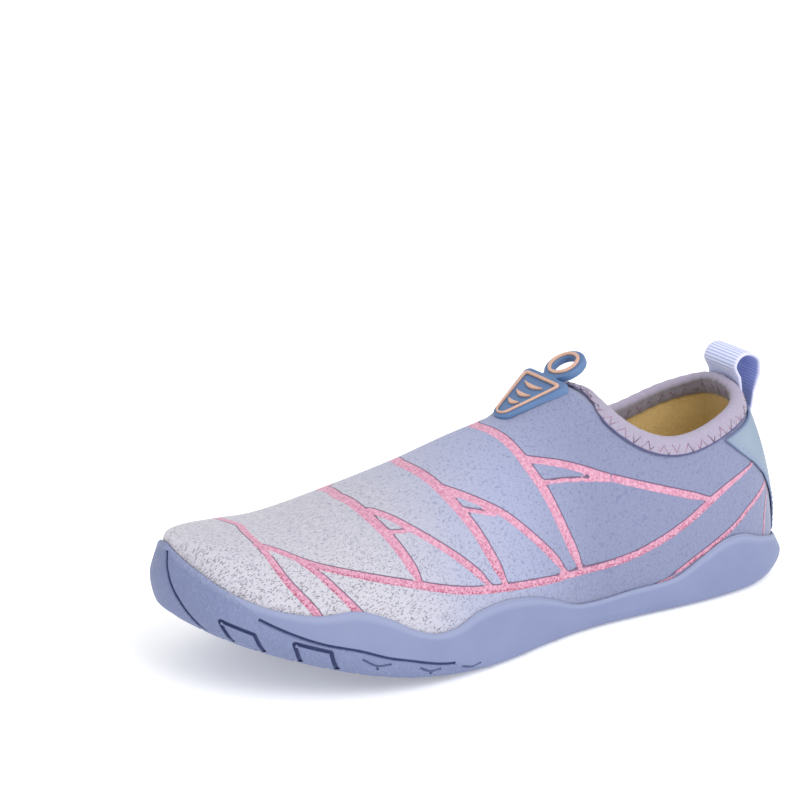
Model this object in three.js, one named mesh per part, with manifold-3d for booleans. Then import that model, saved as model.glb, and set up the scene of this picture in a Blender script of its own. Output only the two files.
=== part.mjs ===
// A left water shoe, standing empty on its sole. Millimetres, +X to the toe, +Y to the outer (little toe)
// side and +Z up. The finished group's origin is the middle of the base of its box.
import * as THREE from "three";
import { mergeVertices } from "three/addons/utils/BufferGeometryUtils.js";
import Module from "manifold-3d";

const wasm = await Module();
wasm.setup();

// Driving sizes of the sole
const SOLE_LENGTH = 248;
const BALL_WIDTH = 92;
const WAIST_WIDTH = 51;
const HEEL_WIDTH = 63;
const TOE_SPRING = 25;
const HEEL_ROUNDING = 3;
const HEEL_ROUNDING_LENGTH = 24;
const SOLE_FLOOR = 5;
const RIM_HEIGHT = 24;
const RIM_THICKNESS = 1.5;
const FLARE = 2.5;
const EDGE_ROUNDING = 3.5;
const GROOVE_WIDTH = 1.5;
const GROOVE_DEPTH = 1.2;
const SIDE_GROOVE_WIDTH = 1.1;
const SIDE_GROOVE_DEPTH = 0.8;
const DRAIN_DIAMETER = 3.5;

// Driving sizes of the upper
const WALL = 2;
const INSTEP_HEIGHT = 83;
const COLLAR_BACK_HEIGHT = 76;
const COLLAR_LENGTH = 82;
const HEEL_LEAN = 17;
const HEEL_LEAN_START = 15;
const HEEL_LEAN_REACH = 70;
const UPPER_INSET = 1.2;

// Driving sizes of what is fixed to the upper
const INSOLE = 3;
const BINDING_WIDTH = 6.5;
const BINDING_THICKNESS = 1;
const PATCH_THICKNESS = 0.8;
const PATCH_TOP_LENGTH = 31;
const PATCH_FOOT_LENGTH = 3;
const LOOP_WIDTH = 19;
const LOOP_THICKNESS = 1.2;
const LOOP_RISE = 9;
const LOOP_DEPTH = 11.5;
const LOOP_FOOT_HEIGHT = 55;
const LOOP_TOP_RADIUS = 4.6;
const TAB_TIP = 0.452;
const TAB_ACROSS = -0.049;
const TAB_SINK = 2;
const TAB_LENGTH = 26;
const TAB_WIDTH = 26;
const TAB_THICKNESS = 3;
const TAB_SLOPE = THREE.MathUtils.degToRad(26);
const TAB_CORNER = 3;
const RING_RADIUS = 8;
const RING_HOLE_RADIUS = 4.4;
const RING_OVERLAP = 0.7;
const RING_NECK = 9;
const TRIM_HEIGHT = 0.8;
const TRIM_WIDTH = 1.7;
const TRIM_MARGIN = 2.3;

// Clearance between neighbouring pieces
const FIT = 0.3;

// Mesh fineness
const SLIVER = 0.03;
const STATIONS = 34;
const COLLAR_STEPS = 14;
const WALL_ROWS = 10;

// The tread's edge: shares of the sole's length, and of the named width for each side
const OUTLINE = [
  { along: 0.0, width: HEEL_WIDTH, lateral: 0.0, medial: 0.0 },
  { along: 0.008, width: HEEL_WIDTH, lateral: 0.25, medial: 0.243 },
  { along: 0.02, width: HEEL_WIDTH, lateral: 0.32, medial: 0.317 },
  { along: 0.04, width: HEEL_WIDTH, lateral: 0.39, medial: 0.395 },
  { along: 0.08, width: HEEL_WIDTH, lateral: 0.462, medial: 0.471 },
  { along: 0.12, width: HEEL_WIDTH, lateral: 0.495, medial: 0.495 },
  { along: 0.18, width: HEEL_WIDTH, lateral: 0.513, medial: 0.478 },
  { along: 0.24, width: HEEL_WIDTH, lateral: 0.51, medial: 0.425 },
  { along: 0.3, width: WAIST_WIDTH, lateral: 0.616, medial: 0.445 },
  { along: 0.4, width: WAIST_WIDTH, lateral: 0.62, medial: 0.365 },
  { along: 0.48, width: WAIST_WIDTH, lateral: 0.686, medial: 0.416 },
  { along: 0.54, width: BALL_WIDTH, lateral: 0.421, medial: 0.292 },
  { along: 0.605, width: BALL_WIDTH, lateral: 0.454, medial: 0.374 },
  { along: 0.665, width: BALL_WIDTH, lateral: 0.475, medial: 0.452 },
  { along: 0.726, width: BALL_WIDTH, lateral: 0.482, medial: 0.497 },
  { along: 0.786, width: BALL_WIDTH, lateral: 0.459, medial: 0.5 },
  { along: 0.847, width: BALL_WIDTH, lateral: 0.4, medial: 0.48 },
  { along: 0.907, width: BALL_WIDTH, lateral: 0.309, medial: 0.433 },
  { along: 0.944, width: BALL_WIDTH, lateral: 0.23, medial: 0.383 },
  { along: 0.98, width: BALL_WIDTH, lateral: 0.095, medial: 0.289 },
  { along: 0.992, width: BALL_WIDTH, lateral: 0.005, medial: 0.221 },
  { along: 1.0, width: BALL_WIDTH, lateral: -0.109, medial: 0.109 },
];

// The sole's wavy side: rim heights above its underside as shares of the rim height,
// and how far it flares past the tread's edge as shares of the flare
const SIDE = [
  { along: 0.0, lateral: 0.42, medial: 0.42, lateralFlare: 1.0, medialFlare: 1.0 },
  { along: 0.02, lateral: 0.55, medial: 0.55, lateralFlare: 1.0, medialFlare: 1.0 },
  { along: 0.07, lateral: 0.78, medial: 0.76, lateralFlare: 0.9, medialFlare: 0.9 },
  { along: 0.12, lateral: 0.95, medial: 0.88, lateralFlare: 0.7, medialFlare: 1.0 },
  { along: 0.155, lateral: 0.92, medial: 0.86, lateralFlare: 0.6, medialFlare: 1.2 },
  { along: 0.195, lateral: 0.75, medial: 0.76, lateralFlare: 0.5, medialFlare: 1.5 },
  { along: 0.24, lateral: 0.54, medial: 0.65, lateralFlare: 0.5, medialFlare: 1.9 },
  { along: 0.32, lateral: 0.48, medial: 0.6, lateralFlare: 0.5, medialFlare: 2.2 },
  { along: 0.39, lateral: 0.45, medial: 0.6, lateralFlare: 0.5, medialFlare: 2.2 },
  { along: 0.425, lateral: 0.5, medial: 0.62, lateralFlare: 0.5, medialFlare: 2.1 },
  { along: 0.47, lateral: 0.7, medial: 0.7, lateralFlare: 0.5, medialFlare: 1.9 },
  { along: 0.52, lateral: 0.87, medial: 0.82, lateralFlare: 0.5, medialFlare: 1.5 },
  { along: 0.57, lateral: 0.94, medial: 0.88, lateralFlare: 0.5, medialFlare: 1.1 },
  { along: 0.615, lateral: 0.88, medial: 0.84, lateralFlare: 0.6, medialFlare: 0.9 },
  { along: 0.655, lateral: 0.72, medial: 0.76, lateralFlare: 0.6, medialFlare: 0.7 },
  { along: 0.69, lateral: 0.67, medial: 0.7, lateralFlare: 0.6, medialFlare: 0.6 },
  { along: 0.725, lateral: 0.73, medial: 0.72, lateralFlare: 0.6, medialFlare: 0.6 },
  { along: 0.76, lateral: 0.86, medial: 0.78, lateralFlare: 0.6, medialFlare: 0.6 },
  { along: 0.8, lateral: 0.92, medial: 0.84, lateralFlare: 0.7, medialFlare: 0.7 },
  { along: 0.86, lateral: 0.76, medial: 0.82, lateralFlare: 0.8, medialFlare: 0.8 },
  { along: 0.915, lateral: 0.7, medial: 0.8, lateralFlare: 0.9, medialFlare: 0.9 },
  { along: 0.96, lateral: 0.75, medial: 0.88, lateralFlare: 1.0, medialFlare: 1.0 },
  { along: 0.99, lateral: 0.92, medial: 1.02, lateralFlare: 1.0, medialFlare: 1.0 },
  { along: 1.0, lateral: 1.08, medial: 1.08, lateralFlare: 1.0, medialFlare: 1.0 },
];

// The upper's ridge: its height as a share of the instep's, its place across as a share of the ball's
// width, and how square the section is on each side. Behind the throat the ridge is the virtual top
// towards which the open ankle's walls lean.
const RIDGE = [
  { along: 0.0, height: 1.02, across: 0.0, lateral: 2.5, medial: 2.5 },
  { along: 0.2, height: 0.98, across: 0.0, lateral: 2.5, medial: 2.5 },
  { along: 0.335, height: 0.975, across: -0.045, lateral: 2.4, medial: 2.4 },
  { along: 0.38, height: 0.968, across: -0.055, lateral: 2.3, medial: 2.3 },
  { along: 0.42, height: 0.945, across: -0.065, lateral: 2.25, medial: 2.3 },
  { along: 0.46, height: 0.904, across: -0.07, lateral: 2.2, medial: 2.3 },
  { along: 0.54, height: 0.842, across: -0.08, lateral: 2.15, medial: 2.3 },
  { along: 0.62, height: 0.765, across: -0.088, lateral: 2.1, medial: 2.3 },
  { along: 0.7, height: 0.698, across: -0.09, lateral: 2.1, medial: 2.3 },
  { along: 0.77, height: 0.647, across: -0.095, lateral: 2.15, medial: 2.35 },
  { along: 0.83, height: 0.621, across: -0.1, lateral: 2.25, medial: 2.45 },
  { along: 0.89, height: 0.632, across: -0.105, lateral: 2.5, medial: 2.6 },
  { along: 0.935, height: 0.641, across: -0.11, lateral: 2.8, medial: 2.9 },
  { along: 0.97, height: 0.646, across: -0.11, lateral: 3.2, medial: 3.2 },
  { along: 0.99, height: 0.644, across: -0.11, lateral: 3.6, medial: 3.6 },
  { along: 1.0, height: 0.64, across: -0.11, lateral: 3.8, medial: 3.8 },
];

// The collar's edge from the back of the heel to the throat: shares of the collar's length along, and
// heights as shares of the back height, both sides alike
const COLLAR = [
  { along: 0.0, height: 0.98 },
  { along: 0.06, height: 0.94 },
  { along: 0.16, height: 0.91 },
  { along: 0.3, height: 0.88 },
  { along: 0.45, height: 0.845 },
  { along: 0.6, height: 0.82 },
  { along: 0.72, height: 0.825 },
  { along: 0.82, height: 0.86 },
  { along: 0.9, height: 0.914 },
  { along: 0.95, height: 0.967 },
  { along: 0.985, height: 1.025 },
  { along: 1.0, height: 1.06 },
];

const SIDES = ["lateral", "medial"];
const sign = (side) => (side === "lateral" ? 1 : -1);
const clamp = THREE.MathUtils.clamp;
const lerp = THREE.MathUtils.lerp;

// A smooth curve through one column of a table. Places near either end are spread out by the arccosine,
// so that the outline rounds off square to the shoe's length.
function tableCurve(rows, value) {
  const spread = (along) => Math.acos(clamp(1 - 2 * along, -1, 1));
  const places = rows.map((row) => spread(row.along));
  const curve = new THREE.CubicInterpolant(places, rows.map(value), 1, new Float64Array(1));
  return (along) => curve.evaluate(spread(along))[0];
}

const outlineCurves = {
  lateral: tableCurve(OUTLINE, (row) => row.width * row.lateral),
  medial: tableCurve(OUTLINE, (row) => -row.width * row.medial),
};
const rimCurves = {
  lateral: tableCurve(SIDE, (row) => RIM_HEIGHT * row.lateral),
  medial: tableCurve(SIDE, (row) => RIM_HEIGHT * row.medial),
};
const flareCurves = {
  lateral: tableCurve(SIDE, (row) => FLARE * row.lateralFlare),
  medial: tableCurve(SIDE, (row) => FLARE * row.medialFlare),
};
const ridgeHeight = tableCurve(RIDGE, (row) => INSTEP_HEIGHT * row.height);
const ridgeAcross = tableCurve(RIDGE, (row) => BALL_WIDTH * row.across);
const squareness = {
  lateral: tableCurve(RIDGE, (row) => row.lateral),
  medial: tableCurve(RIDGE, (row) => row.medial),
};
const collarHeight = tableCurve(COLLAR, (row) => COLLAR_BACK_HEIGHT * row.height);

// Height of the sole's underside: flat from the heel to the ball, rounded up at the heel's back and
// sprung up at the toe
function undersideHeight(x) {
  const springStart = 0.563 * SOLE_LENGTH;
  const spring = Math.max(0, (x - springStart) / (SOLE_LENGTH - springStart));
  const rounding = clamp(1 - x / HEEL_ROUNDING_LENGTH, 0, 1);
  return TOE_SPRING * spring ** 1.74 + HEEL_ROUNDING * rounding ** 2;
}

// One place on the tread's edge and its outward direction in plan
function edgePlace(side, along) {
  const at = (share) => new THREE.Vector2(share * SOLE_LENGTH, outlineCurves[side](share));
  const step = 0.0004;
  const place = at(along);
  if (along <= 0 || along >= 1) {
    return { place, outward: new THREE.Vector2(along <= 0 ? -1 : 1, 0) };
  }
  const ahead = at(Math.min(1, along + step)).sub(at(Math.max(0, along - step))).normalize();
  const outward = new THREE.Vector2(-ahead.y, ahead.x).multiplyScalar(sign(side));
  return { place, outward };
}

// The upper's plan at its feather line lies inside the tread's edge by a named inset
const FEATHER_STEPS = 160;
const feather = {};
for (const side of SIDES) {
  feather[side] = [];
  for (let step = 0; step <= FEATHER_STEPS; step++) {
    const along = (1 - Math.cos((Math.PI * step) / FEATHER_STEPS)) / 2;
    const { place, outward } = edgePlace(side, along);
    feather[side].push(place.addScaledVector(outward, -UPPER_INSET));
  }
}
const UPPER_START = UPPER_INSET;
const UPPER_END = SOLE_LENGTH - UPPER_INSET;

function featherAcross(side, x) {
  const places = feather[side];
  const next = clamp(places.findIndex((place) => place.x >= x), 1, FEATHER_STEPS);
  const before = places[next - 1];
  const after = places[next];
  const share = clamp((x - before.x) / Math.max(after.x - before.x, 1e-9), 0, 1);
  return lerp(before.y, after.y, share);
}

// The heel's back leans forward with height; the lean fades out along the ankle
function heelLean(x, z) {
  const climb = clamp((z - HEEL_LEAN_START) / (COLLAR_BACK_HEIGHT - HEEL_LEAN_START), 0, 1.2);
  const fade = clamp(1 - x / HEEL_LEAN_REACH, 0, 1);
  return HEEL_LEAN * climb ** 1.7 * fade ** 2;
}

function section(side, x) {
  const along = clamp(x / SOLE_LENGTH, 0, 1);
  const across = ridgeAcross(along);
  return {
    across,
    reach: (featherAcross(side, x) - across) * sign(side),
    foot: undersideHeight(x) + SOLE_FLOOR + FIT,
    top: ridgeHeight(along),
    square: squareness[side](along),
  };
}

// A point of the upper's outer face: x before the heel's lean, and the turn from the feather line (0)
// to the ridge (a quarter turn)
function upperPoint(side, x, turn) {
  const { across, reach, foot, top, square } = section(side, x);
  const out = Math.max(0, Math.cos(turn)) ** (2 / square);
  const up = Math.max(0, Math.sin(turn)) ** (2 / square);
  const z = foot + (top - foot) * up;
  return new THREE.Vector3(x + heelLean(x, z), across + sign(side) * reach * out, z);
}

function turnAtHeight(side, x, z) {
  const { foot, top, square } = section(side, x);
  const up = clamp((z - foot) / (top - foot), 0, 1);
  return Math.asin(clamp(up ** (square / 2), 0, 1));
}

// Zero on the upper's outer face, negative inside it
function upperField(point) {
  let x = point.x;
  for (let round = 0; round < 6; round++) {
    x = point.x - heelLean(x, point.z);
  }
  x = clamp(x, UPPER_START, UPPER_END);
  const side = point.y >= ridgeAcross(x / SOLE_LENGTH) ? "lateral" : "medial";
  const { across, reach, foot, top, square } = section(side, x);
  const out = Math.abs(point.y - across) / Math.max(reach, 0.5);
  const up = Math.max(0, point.z - foot) / (top - foot);
  return out ** square + up ** square - 1;
}

function upperSlope(point) {
  const step = 0.05;
  const slope = new THREE.Vector3();
  for (const axis of ["x", "y", "z"]) {
    const ahead = point.clone();
    const behind = point.clone();
    ahead[axis] += step;
    behind[axis] -= step;
    slope[axis] = (upperField(ahead) - upperField(behind)) / (2 * step);
  }
  return slope;
}

function ontoUpper(point) {
  const place = point.clone();
  for (let round = 0; round < 5; round++) {
    const slope = upperSlope(place);
    place.addScaledVector(slope, -upperField(place) / slope.lengthSq());
  }
  return place;
}

// Stations round the shoe: where each one starts on the feather line and where it ends, on the
// collar's edge behind the throat and on the ridge before it
const stationShare = (station) => (1 - Math.cos((Math.PI * station) / STATIONS)) / 2;

function collarTurn(side, x) {
  const share = (x - UPPER_START) / (COLLAR_LENGTH - UPPER_START);
  const height = share > 1 - 1e-6 ? section(side, x).top : collarHeight(share);
  return turnAtHeight(side, x, height);
}

const collarPoint = (side, x) => upperPoint(side, x, collarTurn(side, x));

// The stations' tops lie evenly along the collar's edge, from the back of the heel to the throat
function collarStops(side) {
  const fine = 240;
  const places = [{ x: UPPER_START, run: 0, point: collarPoint(side, UPPER_START) }];
  for (let step = 1; step <= fine; step++) {
    const x = lerp(UPPER_START, COLLAR_LENGTH, (1 - Math.cos((Math.PI * step) / fine)) / 2);
    const point = collarPoint(side, x);
    const last = places[places.length - 1];
    places.push({ x, run: last.run + point.distanceTo(last.point), point });
  }
  const stops = [];
  for (let station = 0; station <= COLLAR_STEPS; station++) {
    const run = (places[fine].run * station) / COLLAR_STEPS;
    stops.push(places.find((place) => place.run >= run - 1e-9).x);
  }
  return stops;
}
const collarStopX = { lateral: collarStops("lateral"), medial: collarStops("medial") };

function stationTop(side, station, footX) {
  if (station <= COLLAR_STEPS) {
    return collarStopX[side][station];
  }
  const start = stationShare(COLLAR_STEPS) * SOLE_LENGTH;
  const share = clamp((footX - start) / (UPPER_END - start), 0, 1);
  return lerp(COLLAR_LENGTH, UPPER_END, share);
}

// The rows of one station on the upper's outer face: feather line, halfway to the sole's rim, the rim,
// then evenly up to the collar or the ridge
function wallRows(side, station) {
  const along = stationShare(station);
  const { place, outward } = edgePlace(side, along);
  const footX = clamp(place.x - outward.x * UPPER_INSET, UPPER_START, UPPER_END);
  const rim = undersideHeight(place.x) + rimCurves[side](along);
  const rimTurn = turnAtHeight(side, footX, rim);
  const topX = stationTop(side, station, footX);
  const topTurn = station < COLLAR_STEPS ? collarTurn(side, topX) : Math.PI / 2;
  const rows = [0, rimTurn / 2, rimTurn].map((turn) => upperPoint(side, footX, turn));
  for (let row = 3; row <= WALL_ROWS; row++) {
    const share = (row - 2) / (WALL_ROWS - 2);
    rows.push(upperPoint(side, lerp(footX, topX, share), lerp(rimTurn, topTurn, share)));
  }
  return rows;
}

// Outward direction of the face through a grid of points, from its neighbours
function gridNormals(grid) {
  return grid.map((rows, station) =>
    rows.map((point, row) => {
      const slope = upperSlope(point);
      const flat = slope.lengthSq() < 1e-12 || Number.isNaN(slope.x);
      if (station === 0 || station === STATIONS || flat) {
        return new THREE.Vector3(station === 0 ? -1 : 1, 0, 0).add(endTilt(grid, station, row)).normalize();
      }
      return slope.normalize();
    }),
  );
}

// The lean of the heel's and toe's centre lines, from the rows above and below
function endTilt(grid, station, row) {
  const rows = grid[station];
  const above = rows[Math.min(row + 1, rows.length - 1)];
  const below = rows[Math.max(row - 1, 0)];
  const rise = Math.max(above.z - below.z, 1e-3);
  const run = above.x - below.x;
  return new THREE.Vector3(0, 0, station === 0 ? run / rise : -run / rise);
}

const wallGrid = {};
const wallNormals = {};
for (const side of SIDES) {
  wallGrid[side] = [];
  for (let station = 0; station <= STATIONS; station++) {
    wallGrid[side].push(wallRows(side, station));
  }
  wallNormals[side] = gridNormals(wallGrid[side]);
}
for (let row = 0; row <= WALL_ROWS; row++) {
  for (const station of [0, STATIONS]) {
    wallGrid.medial[station][row].copy(wallGrid.lateral[station][row]);
    wallNormals.medial[station][row].copy(wallNormals.lateral[station][row]);
  }
}

const offsetPoint = (side, station, row, distance) =>
  wallGrid[side][station][row].clone().addScaledVector(wallNormals[side][station][row], distance);

// Makes a closed mesh from rings of points, one ring for each step along the piece. Each ring is
// joined to the next; the last one is joined to the first, or both ends are closed with fans.
function skinGeometry(rings, { closed = false } = {}) {
  const count = rings[0].length;
  const positions = rings.flat().flatMap((point) => [point.x, point.y, point.z]);
  const index = [];
  const last = closed ? rings.length : rings.length - 1;
  for (let ring = 0; ring < last; ring++) {
    const next = (ring + 1) % rings.length;
    for (let step = 0; step < count; step++) {
      const side = (step + 1) % count;
      const [a, b] = [ring * count + step, ring * count + side];
      const [c, d] = [next * count + side, next * count + step];
      index.push(a, b, c, a, c, d);
    }
  }
  if (!closed) {
    const end = (rings.length - 1) * count;
    for (let step = 1; step < count - 1; step++) {
      index.push(0, step + 1, step, end, end + step, end + step + 1);
    }
  }
  return cleanGeometry(positions, index);
}

// Merges shared points, drops faces with no area and turns the faces outwards
function cleanGeometry(positions, index) {
  const raw = new THREE.BufferGeometry();
  raw.setAttribute("position", new THREE.Float32BufferAttribute(positions, 3));
  raw.setIndex(index);
  const merged = mergeVertices(raw, 1e-3);
  const corners = Array.from(merged.index.array);
  const kept = [];
  for (let face = 0; face < corners.length; face += 3) {
    const [a, b, c] = corners.slice(face, face + 3);
    if (a !== b && b !== c && c !== a) {
      kept.push(a, b, c);
    }
  }
  merged.setIndex(kept);
  if (signedVolume(merged) < 0) {
    for (let face = 0; face < kept.length; face += 3) {
      [kept[face + 1], kept[face + 2]] = [kept[face + 2], kept[face + 1]];
    }
    merged.setIndex(kept);
  }
  return merged;
}

function signedVolume(geometry) {
  const position = geometry.attributes.position;
  const corners = geometry.index.array;
  const [a, b, c] = [new THREE.Vector3(), new THREE.Vector3(), new THREE.Vector3()];
  let volume = 0;
  for (let face = 0; face < corners.length; face += 3) {
    a.fromBufferAttribute(position, corners[face]);
    b.fromBufferAttribute(position, corners[face + 1]);
    c.fromBufferAttribute(position, corners[face + 2]);
    volume += a.dot(b.cross(c)) / 6;
  }
  return volume;
}

function solidFrom(geometry) {
  const bare = geometry.clone();
  bare.deleteAttribute("normal");
  bare.deleteAttribute("uv");
  const merged = bare.index && !bare.attributes.normal ? mergeVertices(bare, 1e-3) : mergeVertices(bare);
  return new wasm.Manifold(
    new wasm.Mesh({
      numProp: 3,
      vertProperties: Float32Array.from(merged.attributes.position.array),
      triVerts: Uint32Array.from(merged.index.array),
    }),
  );
}

function geometryFrom(solid) {
  const mesh = solid.getMesh();
  return cleanGeometry(Array.from(mesh.vertProperties), Array.from(mesh.triVerts));
}

// The largest body of a cut solid, without the slivers that a cut can leave
function mainBody(solid) {
  const bodies = solid.decompose();
  return bodies.sort((a, b) => b.volume() - a.volume())[0];
}

// A shell that follows the upper from one row to its collar and ridge, between two distances from the
// upper's outer face. Before the throat both sides meet on the ridge, so each ring is one open strip.
function upperShell(outer, inner, { firstRow = 0, lift = 0, rise = 0 } = {}) {
  const positions = [];
  const index = [];
  const ids = {};
  const place = (side, station, row, layer) => {
    const key = `${side} ${station} ${row} ${layer}`;
    if (!(key in ids)) {
      const point = offsetPoint(side, station, row, layer === "outer" ? outer : inner);
      point.z += row === firstRow ? lift : 0;
      if (row === WALL_ROWS && station <= COLLAR_STEPS) {
        point.addScaledVector(collarUp[side][station], rise);
      }
      ids[key] = positions.length / 3;
      positions.push(point.x, point.y, point.z);
    }
    return ids[key];
  };
  const quad = (a, b, c, d, flip) => {
    index.push(...(flip ? [a, c, b, a, d, c] : [a, b, c, a, c, d]));
  };
  for (const side of SIDES) {
    const flip = side === "medial";
    for (let station = 0; station < STATIONS; station++) {
      for (let row = firstRow; row < WALL_ROWS; row++) {
        const corners = (layer) => [
          place(side, station, row, layer),
          place(side, station, row + 1, layer),
          place(side, station + 1, row + 1, layer),
          place(side, station + 1, row, layer),
        ];
        quad(...corners("outer"), flip);
        quad(...corners("inner"), !flip);
      }
      const edge = (row) => [
        place(side, station, row, "outer"),
        place(side, station + 1, row, "outer"),
        place(side, station + 1, row, "inner"),
        place(side, station, row, "inner"),
      ];
      quad(...edge(firstRow), flip);
      if (station < COLLAR_STEPS) {
        quad(...edge(WALL_ROWS), !flip);
      }
    }
  }
  return cleanGeometry(positions, index);
}

// On the ridge the two sides share their points
for (let station = COLLAR_STEPS; station < STATIONS; station++) {
  const top = wallGrid.lateral[station][WALL_ROWS];
  const direction = wallNormals.lateral[station][WALL_ROWS];
  direction.add(wallNormals.medial[station][WALL_ROWS]).setY(0).normalize();
  wallGrid.medial[station][WALL_ROWS].copy(top);
  wallNormals.medial[station][WALL_ROWS].copy(direction);
}

// The way out of the wall over the collar's edge, square to that edge and along the wall
const collarUp = {};
for (const side of SIDES) {
  const other = side === "lateral" ? "medial" : "lateral";
  const edge = (station) => wallGrid[side][station][WALL_ROWS];
  collarUp[side] = [];
  for (let station = 0; station <= COLLAR_STEPS; station++) {
    const before = station === 0 ? wallGrid[other][1][WALL_ROWS] : edge(station - 1);
    const after = station === COLLAR_STEPS ? wallGrid[other][station - 1][WALL_ROWS] : edge(station + 1);
    const ahead = after.clone().sub(before);
    const up = new THREE.Vector3().crossVectors(wallNormals[side][station][WALL_ROWS], ahead).normalize();
    const inside = station === COLLAR_STEPS ? edge(station + 1) : wallGrid[side][station][WALL_ROWS - 1];
    if (up.dot(inside.clone().sub(edge(station))) > 0) {
      up.negate();
    }
    collarUp[side].push(up);
  }
}

// Sole: one moulded cup with its rim against the upper
function soleRing(station) {
  const along = stationShare(station);
  const half = (side) => {
    const { place, outward } = edgePlace(side, along);
    const base = undersideHeight(place.x);
    const rim = rimCurves[side](along);
    const flare = flareCurves[side](along);
    const out = (distance, height) => {
      const x = place.x + outward.x * distance;
      const y = place.y + outward.y * distance;
      return new THREE.Vector3(x, y, base + height);
    };
    const land = out(-EDGE_ROUNDING, 0);
    land.z = undersideHeight(land.x);
    const rimOuter = offsetPoint(side, station, 2, FIT + RIM_THICKNESS);
    const rimTop = offsetPoint(side, station, 2, FIT + RIM_THICKNESS / 2);
    const rimInner = offsetPoint(side, station, 2, FIT);
    const wall = offsetPoint(side, station, 1, FIT);
    const corner = offsetPoint(side, station, 0, FIT);
    corner.z -= FIT;
    rimOuter.z -= RIM_THICKNESS;
    return [
      land,
      out(-0.25 * EDGE_ROUNDING, 0.3 * EDGE_ROUNDING),
      out(0.5 * flare, EDGE_ROUNDING),
      out(flare, 0.5 * rim),
      rimOuter,
      rimTop,
      rimInner,
      wall,
      corner,
    ];
  };
  return [...half("lateral"), ...half("medial").reverse()];
}

// A groove's cutter: a bar of the groove's section that follows points on a face
function grooveCutter(points, normals, width, depth, closed = false) {
  const clear = 2;
  const rings = points.map((point, step) => {
    const before = points[closed ? (step + points.length - 1) % points.length : Math.max(step - 1, 0)];
    const after = points[closed ? (step + 1) % points.length : Math.min(step + 1, points.length - 1)];
    const ahead = after.clone().sub(before).normalize();
    const normal = normals[step];
    const across = new THREE.Vector3().crossVectors(normal, ahead).normalize();
    const corner = (side, height) =>
      point.clone().addScaledVector(across, (side * width) / 2).addScaledVector(normal, height);
    return [corner(-1, -depth), corner(1, -depth), corner(1, clear), corner(-1, clear)];
  });
  return solidFrom(skinGeometry(rings, { closed }));
}

// Tread: ovals round the heel, chevrons from the ball to the toe, and a grid of long and cross lines.
// Places are shares of the sole's length and of the ball's width; each line bends through its middle.
const OVALS = 5;
const OVAL_CENTRE = 27;
const OVAL_SHIFT = 2.3;
const OVAL_LENGTH = 18.7;
const OVAL_WIDTH = 8.7;
const OVAL_LENGTH_PITCH = 6.8;
const OVAL_WIDTH_PITCH = 4.4;
const TREAD_LINES = [
  { from: [0.849, -0.073], bend: [0.92, -0.01], to: [0.985, 0.045] },
  { from: [0.849, -0.073], bend: [0.92, -0.18], to: [0.985, -0.285] },
  { from: [0.796, -0.051], bend: [0.89, 0.04], to: [0.965, 0.145] },
  { from: [0.796, -0.051], bend: [0.885, -0.205], to: [0.962, -0.362] },
  { from: [0.705, -0.017], bend: [0.83, 0.07], to: [0.938, 0.25] },
  { from: [0.705, -0.017], bend: [0.81, -0.185], to: [0.93, -0.43] },
  { from: [0.629, 0.021], bend: [0.74, 0.06], to: [0.895, 0.325] },
  { from: [0.629, 0.021], bend: [0.73, -0.14], to: [0.89, -0.457] },
  { from: [0.565, 0.05], bend: [0.7, 0.12], to: [0.853, 0.38] },
  { from: [0.565, 0.05], bend: [0.64, -0.09], to: [0.832, -0.488] },
  { from: [0.845, 0.375], bend: [0.919, -0.04], to: [0.885, -0.45] },
  { from: [0.734, 0.469], bend: [0.8375, 0.053], to: [0.803, -0.48] },
  { from: [0.658, 0.465], bend: [0.7395, 0.002], to: [0.719, -0.485] },
  { from: [0.588, 0.437], bend: [0.67, 0.0075], to: [0.636, -0.4] },
  { from: [0.523, 0.399], bend: [0.5745, 0.047], to: [0.552, -0.293] },
  { from: [0.458, 0.356], bend: [0.483, 0.081], to: [0.472, -0.21] },
  { from: [0.395, 0.33], bend: [0.4025, 0.06], to: [0.4, -0.19] },
  { from: [0.724, 0.47], bend: [0.581, 0.2365], to: [0.394, 0.243] },
  { from: [0.815, 0.421], bend: [0.6135, 0.098], to: [0.398, 0.163] },
  { from: [0.77, -0.475], bend: [0.6135, -0.0205], to: [0.403, -0.023] },
  { from: [0.689, -0.465], bend: [0.5775, -0.086], to: [0.396, -0.103] },
];
const LINE_STEPS = 4;
const OVAL_STEPS = 18;

function treadPoint(x, y) {
  return new THREE.Vector3(x, y, undersideHeight(x));
}

function treadNormal(x) {
  const step = 0.5;
  const slope = (undersideHeight(x + step) - undersideHeight(x - step)) / (2 * step);
  return new THREE.Vector3(slope, 0, -1).normalize();
}

function treadCutters() {
  const cutters = TREAD_LINES.map(({ from, bend, to }) => {
    const ends = [from, bend, to].map(([along, across]) => {
      return new THREE.Vector2(along * SOLE_LENGTH, across * BALL_WIDTH);
    });
    const line = new THREE.QuadraticBezierCurve(...ends).getPoints(LINE_STEPS);
    const points = line.map(({ x, y }) => treadPoint(x, y));
    return grooveCutter(points, line.map(({ x }) => treadNormal(x)), GROOVE_WIDTH, GROOVE_DEPTH);
  });
  for (let oval = 0; oval < OVALS; oval++) {
    const centre = OVAL_CENTRE + OVAL_SHIFT * oval;
    const halfLength = OVAL_LENGTH + OVAL_LENGTH_PITCH * oval;
    const halfWidth = OVAL_WIDTH + OVAL_WIDTH_PITCH * oval;
    const line = [];
    for (let step = 0; step < OVAL_STEPS; step++) {
      const turn = (2 * Math.PI * step) / OVAL_STEPS;
      line.push({ x: centre + halfLength * Math.cos(turn), y: halfWidth * Math.sin(turn) });
    }
    const points = line.map(({ x, y }) => treadPoint(x, y));
    const normals = line.map(({ x }) => treadNormal(x));
    cutters.push(grooveCutter(points, normals, GROOVE_WIDTH, GROOVE_DEPTH, true));
  }
  return cutters;
}

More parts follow.
